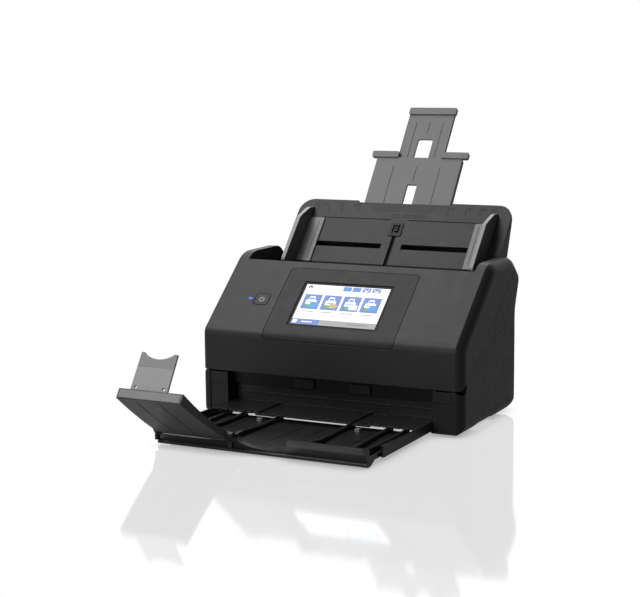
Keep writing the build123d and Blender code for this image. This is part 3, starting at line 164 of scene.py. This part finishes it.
COVER = plastic("cover_plastic", (0.0165, 0.0167, 0.017), 0.46, wear=0.14, edge=0.0006)
BEZEL = plastic(
    "bezel_plastic", (0.013, 0.0142, 0.0138), 0.5, grain=0.0003, bump=0.1, wear=0.08, specular=0.3
)
BODY = plastic("body_plastic", (0.009, 0.009, 0.0095), 0.46, wear=0.12, edge=0.0006)
TRAY = plastic("tray_plastic", (0.026, 0.027, 0.027), 0.5, wear=0.14)
OUTPUT = plastic("output_plastic", (0.0125, 0.013, 0.0135), 0.33, wear=0.2, edge=0.0005)
FLAP = plastic("flap_plastic", (0.07, 0.071, 0.072), 0.5, wear=0.14)
# A paler copy of the flap plastic: painted highlight on the flap's far end, where light from above falls
FLAP_END_HIGHLIGHT = plastic("flap_end_painted_highlight", (0.17, 0.171, 0.172), 0.45, wear=0.1)
EXTENSION = plastic("extension_plastic", (0.17, 0.171, 0.173), 0.5, wear=0.1)
# Near black, for painted shade under the extension plates and in their catch recesses
EXTENSION_SHADE = plastic("extension_painted_shade", (0.006, 0.006, 0.0065), 0.4, wear=0.1)
STOPPER = plastic("stopper_plastic", (0.3, 0.3, 0.3), 0.5, wear=0.08)
STOPPER_TIP = plastic("stopper_tip_plastic", (0.23, 0.23, 0.23), 0.5, wear=0.08)
INNER = plastic("inner_plastic", (0.009, 0.009, 0.0095), 0.45, grain=0.0004)
GUIDE = plastic("guide_plastic", (0.085, 0.086, 0.087), 0.45, wear=0.12)
# A pale copy of the guide plastic, for the painted highlight along the fin edges
GUIDE_HIGHLIGHT = plastic("guide_painted_highlight", (0.3, 0.305, 0.31), 0.38, grain=0.0003, bump=0.1, wear=0.08)
GUIDE_FOOT = plastic("guide_foot_plastic", (0.21, 0.212, 0.215), 0.4, grain=0.0003, bump=0.1, wear=0.08)
BUTTON = plastic("button_plastic", (0.014, 0.014, 0.0145), 0.45, grain=0.0003, bump=0.08, wear=0.1)
CLIP = plastic("clip_plastic", (0.004, 0.004, 0.0045), 0.45, grain=0.0004, bump=0.05, specular=0.3)
MARK = plastic("moulded_mark_plastic", (0.007, 0.007, 0.007), 0.6, grain=0.0004, bump=0.1)
# Near black, for painted shade in grooves and along steps
GROOVE_SHADE = plastic("painted_groove_shade", (0.003, 0.003, 0.003), 0.7, grain=0.0004, bump=0.1, specular=0.1)
BLACK = plastic("black_plastic", (0.008, 0.008, 0.009), 0.22, grain=0.0004, bump=0.05, specular=0.5)
BOARD = plastic("board_lacquer", (0.01, 0.09, 0.045), 0.32, grain=0.0012, bump=0.3, specular=0.5)
ACETAL = plastic("acetal", (0.62, 0.61, 0.57), 0.35, grain=0.0006, bump=0.08, wear=0.06)
RUBBER = rubber("rubber", (0.016, 0.016, 0.017))
FEED_RUBBER = rubber("feed_rubber", (0.09, 0.095, 0.1), 0.85)
STEEL = metal("ground_steel", (0.62, 0.62, 0.61), 0.28)
SHEET = metal("zinc_sheet", (0.5, 0.51, 0.52), 0.42, stretch=(1.0, 1.0, 1.0), scale=180.0)
SHELL = metal("plated_shell", (0.66, 0.66, 0.66), 0.22)
GLASS = clear_glass("scan_glass")
SCREEN = plastic(
    "screen_border", (0.003, 0.003, 0.0035), 0.4, grain=0.0008, bump=0.02, edge=0.0003, specular=0.15
)
LENS = glowing("status_light", (0.03, 0.13, 1.0), 0.9, 0.3)

NODE_MATERIALS = {
    COVER: ["front_cover"],
    BEZEL: ["panel_bezel"],
    BODY: ["base_housing", "rear_cover", "tray_back_cover", "hinge_blocks"],
    TRAY: ["input_tray"],
    OUTPUT: ["output_tray", "output_tray_extension", "exit_roller_covers"],
    FLAP: ["output_flap"],
    EXTENSION: ["tray_extension_lower", "tray_extension_upper"],
    STOPPER: ["output_stopper"],
    INNER: [
        "upper_paper_guide", "lower_paper_guide", "separation_holder", "cover_release_lever",
        "front_scan_unit", "rear_scan_unit", "paper_sensor_lever", "display_module", "chassis",
    ],
    GUIDE: ["edge_guide_left", "edge_guide_right"],
    BUTTON: ["power_button"],
    CLIP: ["tray_clip"],
    BLACK: ["power_jack"],
    SCREEN: ["touch_screen"],
    LENS: ["status_lens"],
    GLASS: ["front_scan_glass", "rear_scan_glass"],
    RUBBER: ["rubber_feet", "drive_belt"],
    FEED_RUBBER: [
        "feed_rollers", "exit_rollers", "pickup_rollers", "separation_roller",
        "feed_idler_rollers", "exit_idler_rollers",
    ],
    STEEL: [
        "tray_hinge_pins", "cover_hinge_pins", "idler_shafts", "separation_shaft", "pickup_shaft",
        "feed_shaft", "exit_shaft", "motor_shaft", "flap_pin", "case_screws",
    ],
    SHEET: ["feed_motor"],
    BOARD: ["main_board", "panel_board"],
    SHELL: ["usb_port"],
    ACETAL: ["shaft_bushes", "pickup_pulley", "feed_pulley", "exit_pulley", "motor_pulley", "guide_pinion"],
}
for mat, names in NODE_MATERIALS.items():
    for name in names:
        data = nodes[name].data
        data.materials.clear()
        data.materials.append(mat)


# Local frames and outlines, in millimetres

def local_frame(y, z, angle):
    """A frame at y, z on the centre line: x along the width, y up the slope, z out of the face."""
    lean = math.radians(angle)
    return Matrix((
        (1.0, 0.0, 0.0, 0.0),
        (0.0, math.cos(lean), -math.sin(lean), y * MM),
        (0.0, math.sin(lean), math.cos(lean), z * MM),
        (0.0, 0.0, 0.0, 1.0),
    ))


PANEL_AT = local_frame(-78.5, 90.0, 40.7)
TRAY_PLACE = (64.3, 147.5, 48.6)
TRAY_AT = local_frame(*TRAY_PLACE)
EXT_AT = local_frame(122.3, 206.5, 54.0)
BEVEL_SEGMENTS = 2
BEVEL_FROM_ANGLE = 40


def rounded(x0, x1, y0, y1, r=0.0, steps=5):
    """A rectangle outline with round corners."""
    if r <= 0:
        return [(x0, y0), (x1, y0), (x1, y1), (x0, y1)]
    points = []
    corners = ((x1 - r, y0 + r, -90), (x1 - r, y1 - r, 0), (x0 + r, y1 - r, 90), (x0 + r, y0 + r, 180))
    for cx, cy, start in corners:
        for step in range(steps + 1):
            turn = math.radians(start + 90 * step / steps)
            points.append((cx + r * math.cos(turn), cy + r * math.sin(turn)))
    return points


def mirrored(side, near, far):
    """The low and high ends of a span on one side of the centre line."""
    return sorted((side * near, side * far))


def disc(cx, cy, r, steps=20):
    """The outline of a disc."""
    turns = [2 * math.pi * k / steps for k in range(steps)]
    return [(cx + r * math.cos(t), cy + r * math.sin(t)) for t in turns]


def stroke(points, width):
    """The outline of a pen line along points."""
    left, right = [], []
    for k, point in enumerate(points):
        before = Vector(points[max(k - 1, 0)])
        after = Vector(points[min(k + 1, len(points) - 1)])
        along = (after - before).normalized()
        side = Vector((-along.y, along.x)) * width / 2
        left.append(tuple(Vector(point) + side))
        right.append(tuple(Vector(point) - side))
    return left + right[::-1]


def arc(cx, cy, r, start, end, steps=24):
    """Points along an arc between two angles in degrees."""
    turns = [math.radians(start + (end - start) * k / steps) for k in range(steps + 1)]
    return [(cx + r * math.cos(t), cy + r * math.sin(t)) for t in turns]


def plates(name, outlines, depth, at, mat, body, bevel=0.0):
    """One piece made of flat outlines (mm) thickened between two heights of a local frame."""
    mesh = bpy.data.meshes.new(name)
    bm = bmesh.new()
    for outline in outlines:
        lower = [bm.verts.new((x * MM, y * MM, depth[0] * MM)) for x, y in outline]
        upper = [bm.verts.new((x * MM, y * MM, depth[1] * MM)) for x, y in outline]
        bm.faces.new(lower[::-1])
        bm.faces.new(upper)
        for k in range(len(outline)):
            after = (k + 1) % len(outline)
            bm.faces.new((lower[k], lower[after], upper[after], upper[k]))
    bmesh.ops.recalc_face_normals(bm, faces=bm.faces)
    bm.to_mesh(mesh)
    bm.free()
    mesh.transform(at)
    mesh.materials.append(mat)
    piece = bpy.data.objects.new(name, mesh)
    bpy.context.scene.collection.objects.link(piece)
    if bevel:
        modifier = piece.modifiers.new("edges", "BEVEL")
        modifier.width = bevel * MM
        modifier.segments = BEVEL_SEGMENTS
        modifier.limit_method = "ANGLE"
        modifier.angle_limit = math.radians(BEVEL_FROM_ANGLE)
    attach(piece, body)


# Touch screen: a lit page with plain pictograms

SCREEN_FACE = -0.7
LAYER_START = 0.03
LAYER_STEP = 0.04
LAYER_THICK = 0.05
PAGE_LEFT, PAGE_RIGHT = -48.0, 48.0
PAGE_LOW, PAGE_HIGH = 16.2, 70.2
BAR_HIGH = 23.4
TILE_X = [-44.6, -22.0, 0.6, 23.2]
TILE = 19.9
TILE_LOW = 36.9
CHIP_X = [-4.6, 6.0, 17.4, 28.6]
CHIP = 9.4
CHIP_LOW, CHIP_HIGH = 63.6, 69.4
DOT_HEIGHT = 29.6
PAGE_WHITE = glowing("page_white", (0.93, 0.95, 1.0), 0.86)
PAGE_BLUE = glowing("page_blue", (0.085, 0.17, 0.47), 0.86)
PAGE_SKY = glowing("page_sky", (0.01, 0.25, 0.66), 0.86)
PAGE_GREEN = glowing("page_green", (0.02, 0.42, 0.05), 0.86)
PAGE_SAND = glowing("page_sand", (0.5, 0.36, 0.16), 0.86)
PAGE_GREY = glowing("page_grey", (0.29, 0.3, 0.29), 0.86)
PAGE_INK = glowing("page_ink", (0.03, 0.035, 0.04), 0.6)
PAGE_YELLOW = glowing("page_yellow", (0.85, 0.6, 0.05), 0.9)


def on_page(name, outlines, layer, mat):
    """Flat shapes of the lit page, each layer a little above the one before."""
    low = SCREEN_FACE + LAYER_START + LAYER_STEP * layer
    plates(name, outlines, (low, low + LAYER_THICK), PANEL_AT, mat, "front_cover")


on_page("screen_page", [rounded(PAGE_LEFT, PAGE_RIGHT, PAGE_LOW, PAGE_HIGH)], 0, PAGE_WHITE)
tiles = [rounded(x, x + TILE, TILE_LOW, TILE_LOW + TILE, 0.6) for x in TILE_X]
chips = [rounded(x, x + CHIP, CHIP_LOW, CHIP_HIGH, 0.4) for x in CHIP_X]
on_page("screen_tiles", tiles + chips + [rounded(PAGE_LEFT, -15.6, PAGE_LOW, BAR_HIGH)], 1, PAGE_BLUE)
on_page("screen_bar", [rounded(-15.4, PAGE_RIGHT, PAGE_LOW, BAR_HIGH)], 1, PAGE_GREY)

# Each tile shows a small machine with a caption line; what lies before it differs from tile to tile
whites, skies, inks = [], [], []
for x in TILE_X:
    whites.append([
        (x + 5.4, TILE_LOW + 11.6), (x + 6.6, TILE_LOW + 17.2),
        (x + 12.4, TILE_LOW + 17.2), (x + 13.6, TILE_LOW + 11.6),
    ])
    whites.append(rounded(x + 3.4, x + 15.6, TILE_LOW + 6.4, TILE_LOW + 12.4, 1.0))
    skies.append(rounded(x + 6.8, x + 12.2, TILE_LOW + 13.0, TILE_LOW + 15.4, 0.3))
    inks.append(rounded(x + 2.6, x + 16.4, TILE_LOW - 3.8, TILE_LOW - 2.7, 0.3))
skies.append(rounded(TILE_X[0] + 9.4, TILE_X[0] + 18.8, TILE_LOW + 2.2, TILE_LOW + 9.4, 0.5))
cube = ((9.4, 4.0), (14.0, 1.6), (18.6, 4.0), (18.6, 8.0), (14.0, 10.2), (9.4, 8.0))
skies.append([(TILE_X[3] + x, TILE_LOW + y) for x, y in cube])
for x in CHIP_X[:2]:
    skies.append(disc(x + CHIP / 2, 66.5, 2.0))
for x in CHIP_X[2:]:
    whites.append(stroke([(x + 1.6, 68.0), (x + CHIP / 2, 65.4), (x + 7.8, 68.0)], 0.7))
    whites.append(rounded(x + 1.8, x + 7.6, 64.4, 65.2, 0.2))
whites.append(rounded(TILE_X[2] + 9.4, TILE_X[2] + 18.6, TILE_LOW + 2.4, TILE_LOW + 8.6, 0.5))
on_page("screen_papers", whites, 2, PAGE_WHITE)
on_page("screen_folder", [[
    (TILE_X[1] + 9.4, TILE_LOW + 2.4), (TILE_X[1] + 16.6, TILE_LOW + 2.4), (TILE_X[1] + 18.8, TILE_LOW + 5.4),
    (TILE_X[1] + 16.6, TILE_LOW + 8.4), (TILE_X[1] + 9.4, TILE_LOW + 8.4),
]], 3, PAGE_SAND)
on_page("screen_symbols", skies, 3, PAGE_SKY)
slots = [rounded(x + 5.4, x + 13.6, TILE_LOW + 8.6, TILE_LOW + 9.6, 0.2) for x in TILE_X]
on_page("screen_slots", slots, 3, PAGE_BLUE)
on_page("screen_arrows", [disc(x + 7.4, TILE_LOW + 4.4, 2.2) for x in TILE_X], 4, PAGE_GREEN)
home = [
    (-44.6, 64.6), (-44.6, 66.6), (-45.6, 66.6), (-42.6, 69.4), (-39.6, 66.6), (-40.6, 66.6),
    (-40.6, 64.6), (-41.8, 64.6), (-41.8, 66.4), (-43.4, 66.4), (-43.4, 64.6),
]
on_page("screen_home", [home], 1, PAGE_INK)
on_page("screen_captions", inks, 1, PAGE_GREY)
on_page("screen_dots", [disc(-4.0, DOT_HEIGHT, 0.9)], 1, PAGE_BLUE)
on_page("screen_dots_other", [disc(-0.6, DOT_HEIGHT, 0.5), disc(2.8, DOT_HEIGHT, 0.5)], 1, PAGE_GREY)
bar_shapes = [rounded(-46.4, -41.6, 17.6, 22.2, 0.5), rounded(-36.0, -24.0, 19.2, 20.4, 0.3)]
on_page("screen_button", bar_shapes, 2, PAGE_WHITE)
on_page("screen_button_dot", [disc(-42.2, 18.6, 1.0)], 3, PAGE_YELLOW)
BAR_LINE = plastic("bar_line", (0.2, 0.2, 0.2), 0.4)
on_page("screen_bar_line", [rounded(16.0, 38.0, 19.4, 20.2, 0.3)], 2, BAR_LINE)

# Power symbol on the button
SYMBOL = glowing("power_symbol", (0.8, 0.82, 0.85), 0.28, 0.3)
POWER_X, POWER_Y = -92.5, 45.0
POWER_PEN = 0.62
symbol = [
    stroke(arc(POWER_X, POWER_Y - 0.3, 2.7, 125, 415), POWER_PEN),
    stroke([(POWER_X, POWER_Y + 0.2), (POWER_X, POWER_Y + 3.4)], POWER_PEN),
]
plates("power_symbol", symbol, (0.25, 0.36), PANEL_AT, SYMBOL, "power_button")

# Input tray: paper marks beside the guides, small icons, painted shade in the centre groove and along the
# step lines

PEN = 0.5
tray_marks = []
for side in (-1, 1):
    for x, wide in ((54.0, 4.6), (74.5, 4.2), (91.0, 4.4), (104.5, 4.8)):
        tray_marks.append(rounded(side * x - PEN / 2, side * x + PEN / 2, 69.0, 79.4))
        low, high = mirrored(side, x + 1.6, x + 1.6 + wide)
        tray_marks += [stroke([(low, y), (high, y)], PEN) for y in (76.4, 78.6)]
for x in (-9.0, 4.4):
    tray_marks += [rounded(x, x + 6.4, 63.0, 63.5), rounded(x, x + 6.4, 66.4, 66.9)]
    tray_marks += [rounded(x, x + 0.5, 63.5, 66.4), rounded(x + 5.9, x + 6.4, 63.5, 66.4)]
for x in (18.2, 26.6):
    tray_marks.append(stroke(arc(x, 65.0, 2.7, 0, 350), PEN))
    tray_marks.append(stroke([(x - 1.3, 65.0), (x + 1.3, 65.0)], PEN))
plates("tray_paper_marks", tray_marks, (-0.05, 0.12), TRAY_AT, MARK, "input_tray")
# Painted shade: a near black sheet on the centre groove floor, and near black lines along the steps
plates("tray_groove_shade", [rounded(-2.1, 2.1, -6.0, 37.4)], (-1.72, -1.5), TRAY_AT, GROOVE_SHADE, "input_tray")
step_lines = []
for side in (-1, 1):
    low, high = mirrored(side, 10.5, 94.0)
    step_lines.append(rounded(low, high, 59.15, 59.95))
plates("tray_step_shade_lines", step_lines, (-0.62, -0.5), TRAY_AT, GROOVE_SHADE, "input_tray")

# Side guides: painted highlight as pale bands along the fin edges, and pale faces on the foot plates


def side_frame(y, z, angle):
    """A frame for side outlines: x along the slope, y off its face, z along the width."""
    lean = math.radians(angle)
    return Matrix((
        (0.0, 0.0, 1.0, 0.0),
        (math.cos(lean), -math.sin(lean), 0.0, y * MM),
        (math.sin(lean), math.cos(lean), 0.0, z * MM),
        (0.0, 0.0, 0.0, 1.0),
    ))


def strip(points, lift):
    """The outline of a thin layer on the left hand side of a line, as seen along it."""
    outer = []
    for k, point in enumerate(points):
        before = Vector(points[max(k - 1, 0)])
        after = Vector(points[min(k + 1, len(points) - 1)])
        along = (after - before).normalized()
        outer.append(tuple(Vector(point) + Vector((-along.y, along.x)) * lift))
    return list(points) + outer[::-1]


TRAY_SIDE = side_frame(*TRAY_PLACE)
BAND_THICK = 0.22
FIN_EDGE = [(-4.0, 2.0), (-15.9, 22.7), (-13.5, 23.6), (43.0, 22.6), (54.0, 16.5), (65.0, 9.6), (71.5, 1.8)]
for side, body in ((-1, "guide_left"), (1, "guide_right")):
    # Painted highlight: a pale band along each fin edge
    band = [strip(FIN_EDGE, BAND_THICK)]
    plates(body + "_painted_highlight_band", band, mirrored(side, 108.7, 112.8), TRAY_SIDE, GUIDE_HIGHLIGHT, body)
    foot = [rounded(*mirrored(side, 91.0, 108.2), -1.1, 57.6, 0.8)]
    plates(body + "_foot_face", foot, (1.25, 1.5), TRAY_AT, GUIDE_FOOT, body, bevel=0.1)
    ledge = [
        rounded(side * 96.0 - 0.4, side * 96.0 + 0.4, 3.0, 54.0, 0.3),
        rounded(side * 104.0 - 3.0, side * 104.0 + 3.0, 8.0, 9.0, 0.3),
    ]
    plates(body + "_foot_lines", ledge, (1.45, 1.6), TRAY_AT, GUIDE, body)

# Extensions: painted shade as dark side rails under the plates and dark catch recesses

rails = [rounded(-51.8, -50.2, -21.8, 61.8), rounded(50.2, 51.8, -21.8, 61.8)]
plates("lower_extension_shade_rails", rails, (-6.3, -2.75), EXT_AT, EXTENSION_SHADE, "extension_lower")
rails = [rounded(-27.9, -27.3, 43.0, 122.4), rounded(27.3, 27.9, 43.0, 122.4)]
plates("upper_extension_shade_rails", rails, (-5.4, -2.9), EXT_AT, EXTENSION_SHADE, "extension_upper")
notches = []
for side in (-1, 1):
    low, high = mirrored(side, 31.5, 41.5)
    notches.append(rounded(low, high, -4.2, -1.4, 0.6))
    notches += [rounded(x, x + 1.6, -9.0, -1.4) for x in (low, high - 1.6)]
plates("lower_extension_catch_shade", notches, (-0.05, 0.25), EXT_AT, EXTENSION_SHADE, "extension_lower",
       bevel=0.08)

# Output flap and stopper: pale end strip as a painted highlight, painted shade in two lines under the flap,
# darker tip of the stopper

SIDE = side_frame(0.0, 0.0, 0.0)


def on_circle(a, b, c, start, end, steps=16):
    """Points on the circle through three points, between two shares of the way from a to c."""
    ax, ay, bx, by, cx, cy = *a, *b, *c
    d = 2 * (ax * (by - cy) + bx * (cy - ay) + cx * (ay - by))
    sa, sb, sc = ax * ax + ay * ay, bx * bx + by * by, cx * cx + cy * cy
    ux = (sa * (by - cy) + sb * (cy - ay) + sc * (ay - by)) / d
    uy = (sa * (cx - bx) + sb * (ax - cx) + sc * (bx - ax)) / d
    first = math.atan2(ay - uy, ax - ux)
    last = math.atan2(cy - uy, cx - ux)
    swing = (last - first + math.pi) % (2 * math.pi) - math.pi
    radius = math.hypot(ax - ux, ay - uy)
    turns = [first + swing * (start + (end - start) * k / steps) for k in range(steps + 1)]
    return [(ux + radius * math.cos(t), uy + radius * math.sin(t)) for t in turns]


FLAP_LOW = ((-225.0, 13.9), (-263.0, 37.5), (-299.5, 63.0))
under = on_circle(*FLAP_LOW, 0.06, 0.97)
# Painted shade: two dark lines in the grooves under the flap
for number, x in enumerate((-86.0, -61.0), start=1):
    plates(f"flap_underside_shade_line_{number}", [strip(under, 0.12)], (x - 0.35, x + 0.35), SIDE, GROOVE_SHADE,
           "output_flap")
# Painted highlight: a pale strip on the flap's far end
lit_end_face = strip([(-298.9, 63.9), (-294.0, 70.1)], 0.18)
plates("flap_end_highlight_strip", [lit_end_face], (-104.4, -38.2), SIDE, FLAP_END_HIGHLIGHT, "output_flap")

STOPPER_AT = local_frame(-289.9, 65.6, 57.0)
TIP_HIGH = 41.7
TIP_STEPS = 12
tip = [(-96.9, 27.5), (-57.1, 27.5), (-57.4, TIP_HIGH), (-60.9, TIP_HIGH)]
for step in range(1, TIP_STEPS):
    turn = math.pi * step / TIP_STEPS
    tip.append((-77.0 + 16.1 * math.cos(turn), TIP_HIGH - 5.9 * math.sin(turn)))
tip += [(-93.1, TIP_HIGH), (-96.6, TIP_HIGH)]
plates("stopper_tip_face", [tip], (1.08, 1.16), STOPPER_AT, STOPPER_TIP, "output_stopper")

# Output tray: small pale stops and curved ridges on the floor of the second section

FLOOR_AT = local_frame(0.0, 0.0, 0.0)
SECTION_FLOOR = 7.1
RIDGE_STEPS = 12
stops = [rounded(side * 55.0 - 2.6, side * 55.0 + 2.6, -122.0, -118.0, 0.5) for side in (-1, 1)]
plates("output_floor_stops", stops, (SECTION_FLOOR, 10.8), FLOOR_AT, GUIDE_FOOT, "output_extension",
       bevel=0.3)
ridges = []
for x_near, x_far in ((-2.0, -10.0), (20.0, 18.0), (-70.0, -74.0), (70.0, 76.0)):
    shares = [step / RIDGE_STEPS for step in range(RIDGE_STEPS + 1)]
    bend = [(x_near + (x_far - x_near) * share ** 2, -118.0 - 84.0 * share) for share in shares]
    ridges.append(stroke(bend, 0.9))
plates("output_floor_ridges", ridges, (SECTION_FLOOR, 7.55), FLOOR_AT, OUTPUT, "output_extension", bevel=0.12)

# Camera, floor and light

CAMERA_LENS = 88.96
CAMERA_AZIMUTH = math.radians(27.03)
CAMERA_ELEVATION = math.radians(8.82)
CAMERA_ROLL = math.radians(-0.54)
CAMERA_TARGET = Vector((0.0, -0.091, 0.13235))
CAMERA_DISTANCE = 1.5833

camera_data = bpy.data.cameras.new("camera")
camera_data.sensor_width = 36.0
camera_data.lens = CAMERA_LENS
camera_data.clip_start = 0.05
camera_data.clip_end = 20.0
camera = bpy.data.objects.new("camera", camera_data)
bpy.context.scene.collection.objects.link(camera)
away = Vector((
    math.sin(CAMERA_AZIMUTH) * math.cos(CAMERA_ELEVATION),
    -math.cos(CAMERA_AZIMUTH) * math.cos(CAMERA_ELEVATION),
    math.sin(CAMERA_ELEVATION),
))
camera.location = CAMERA_TARGET + away * CAMERA_DISTANCE
facing = (-away).to_track_quat("-Z", "Y")
camera.rotation_euler = (facing.to_matrix() @ Matrix.Rotation(CAMERA_ROLL, 3, "Z")).to_euler()
bpy.context.scene.camera = camera

# The studio: white where the camera looks, dim behind the camera for what the object mirrors
STUDIO_DIM = 0.09
world = bpy.data.worlds.new("studio")
bpy.context.scene.world = world
world.use_nodes = True
world_nodes, world_links = world.node_tree.nodes, world.node_tree.links
background = world_nodes["Background"]
background.inputs["Color"].default_value = (1.0, 1.0, 1.0, 1.0)
rays = world_nodes.new("ShaderNodeLightPath")
direction = world_nodes.new("ShaderNodeTexCoord")
facing_share = world_nodes.new("ShaderNodeVectorMath")
facing_share.operation = "DOT_PRODUCT"
facing_share.inputs[1].default_value = (-math.sin(CAMERA_AZIMUTH), math.cos(CAMERA_AZIMUTH), 0.0)
world_links.new(direction.outputs["Generated"], facing_share.inputs[0])
backdrop = remap(world_nodes, world_links, facing_share.outputs["Value"], STUDIO_DIM, 1.0, (0.45, 0.85))
brighter = world_nodes.new("ShaderNodeMath")
brighter.operation = "MAXIMUM"
world_links.new(rays.outputs["Is Camera Ray"], brighter.inputs[0])
world_links.new(backdrop, brighter.inputs[1])
world_links.new(brighter.outputs["Value"], background.inputs["Strength"])


def softbox(name, place, aim, size, power):
    """A rectangular area light (metres, watts) at place, turned towards aim."""
    data = bpy.data.lights.new(name, "AREA")
    data.shape = "RECTANGLE"
    data.size, data.size_y = size
    data.energy = power
    light = bpy.data.objects.new(name, data)
    bpy.context.scene.collection.objects.link(light)
    light.location = place
    light.rotation_euler = (Vector(aim) - Vector(place)).to_track_quat("-Z", "Y").to_euler()


centre = Vector((0.0, -0.05, 0.1))
softbox("key_light", centre + Vector((-0.45, -0.52, 0.72)) * 1.7, centre, (0.7, 0.7), 13.0)
softbox("overhead_light", centre + Vector((-0.4, 0.1, 0.9)) * 1.7, centre, (1.2, 0.9), 13.0)
softbox("rear_light", centre + Vector((-0.7, 1.5, 1.0)), centre, (1.2, 0.6), 5.0)
softbox("fill_light", centre + Vector((0.9, -1.5, 0.5)), centre, (0.8, 0.8), 2.2)
softbox("low_front_light", centre + Vector((-0.5, -1.6, 0.25)), centre, (1.0, 0.4), 3.2)

# The floor glows for the camera, darkens under what touches it with a painted contact shadow and mirrors the
# object faintly
FLOOR_REACH = 8.0
CONTACT_REACH = 0.02
MIRROR_ROUGHNESS = 0.07
MIRROR_SHARE = 0.34
floor_mesh = bpy.data.meshes.new("floor")
corners = [(x * FLOOR_REACH, y * FLOOR_REACH, 0) for x, y in ((-1, -1), (1, -1), (1, 1), (-1, 1))]
floor_mesh.from_pydata(corners, [], [(0, 1, 2, 3)])
floor = bpy.data.objects.new("floor", floor_mesh)
bpy.context.scene.collection.objects.link(floor)
floor_mat, floor_nodes, floor_links, _ = material("floor_white")
glow = floor_nodes.new("ShaderNodeEmission")
glow_path = floor_nodes.new("ShaderNodeLightPath")
# Painted contact shadow: ambient occlusion dims the floor's glow near the object
contact_shadow = floor_nodes.new("ShaderNodeAmbientOcclusion")
contact_shadow.samples = 4
contact_shadow.inputs["Distance"].default_value = CONTACT_REACH
shade = remap(floor_nodes, floor_links, contact_shadow.outputs["AO"], 0.55, 1.12, (0.1, 0.8))
seen = remap(floor_nodes, floor_links, glow_path.outputs["Is Camera Ray"], 0.22, 1.0, (0.0, 1.0))
level = floor_nodes.new("ShaderNodeMath")
level.operation = "MULTIPLY"
floor_links.new(shade, level.inputs[0])
floor_links.new(seen, level.inputs[1])
floor_links.new(level.outputs["Value"], glow.inputs["Strength"])
mirror = floor_nodes.new("ShaderNodeBsdfGlossy")
mirror.inputs["Roughness"].default_value = MIRROR_ROUGHNESS
floor_mix = floor_nodes.new("ShaderNodeMixShader")
floor_mix.inputs["Fac"].default_value = MIRROR_SHARE
floor_links.new(glow.outputs["Emission"], floor_mix.inputs[1])
floor_links.new(mirror.outputs["BSDF"], floor_mix.inputs[2])
floor_links.new(floor_mix.outputs["Shader"], floor_nodes["Material Output"].inputs["Surface"])
floor_mesh.materials.append(floor_mat)

bpy.context.scene.view_settings.view_transform = "Standard"
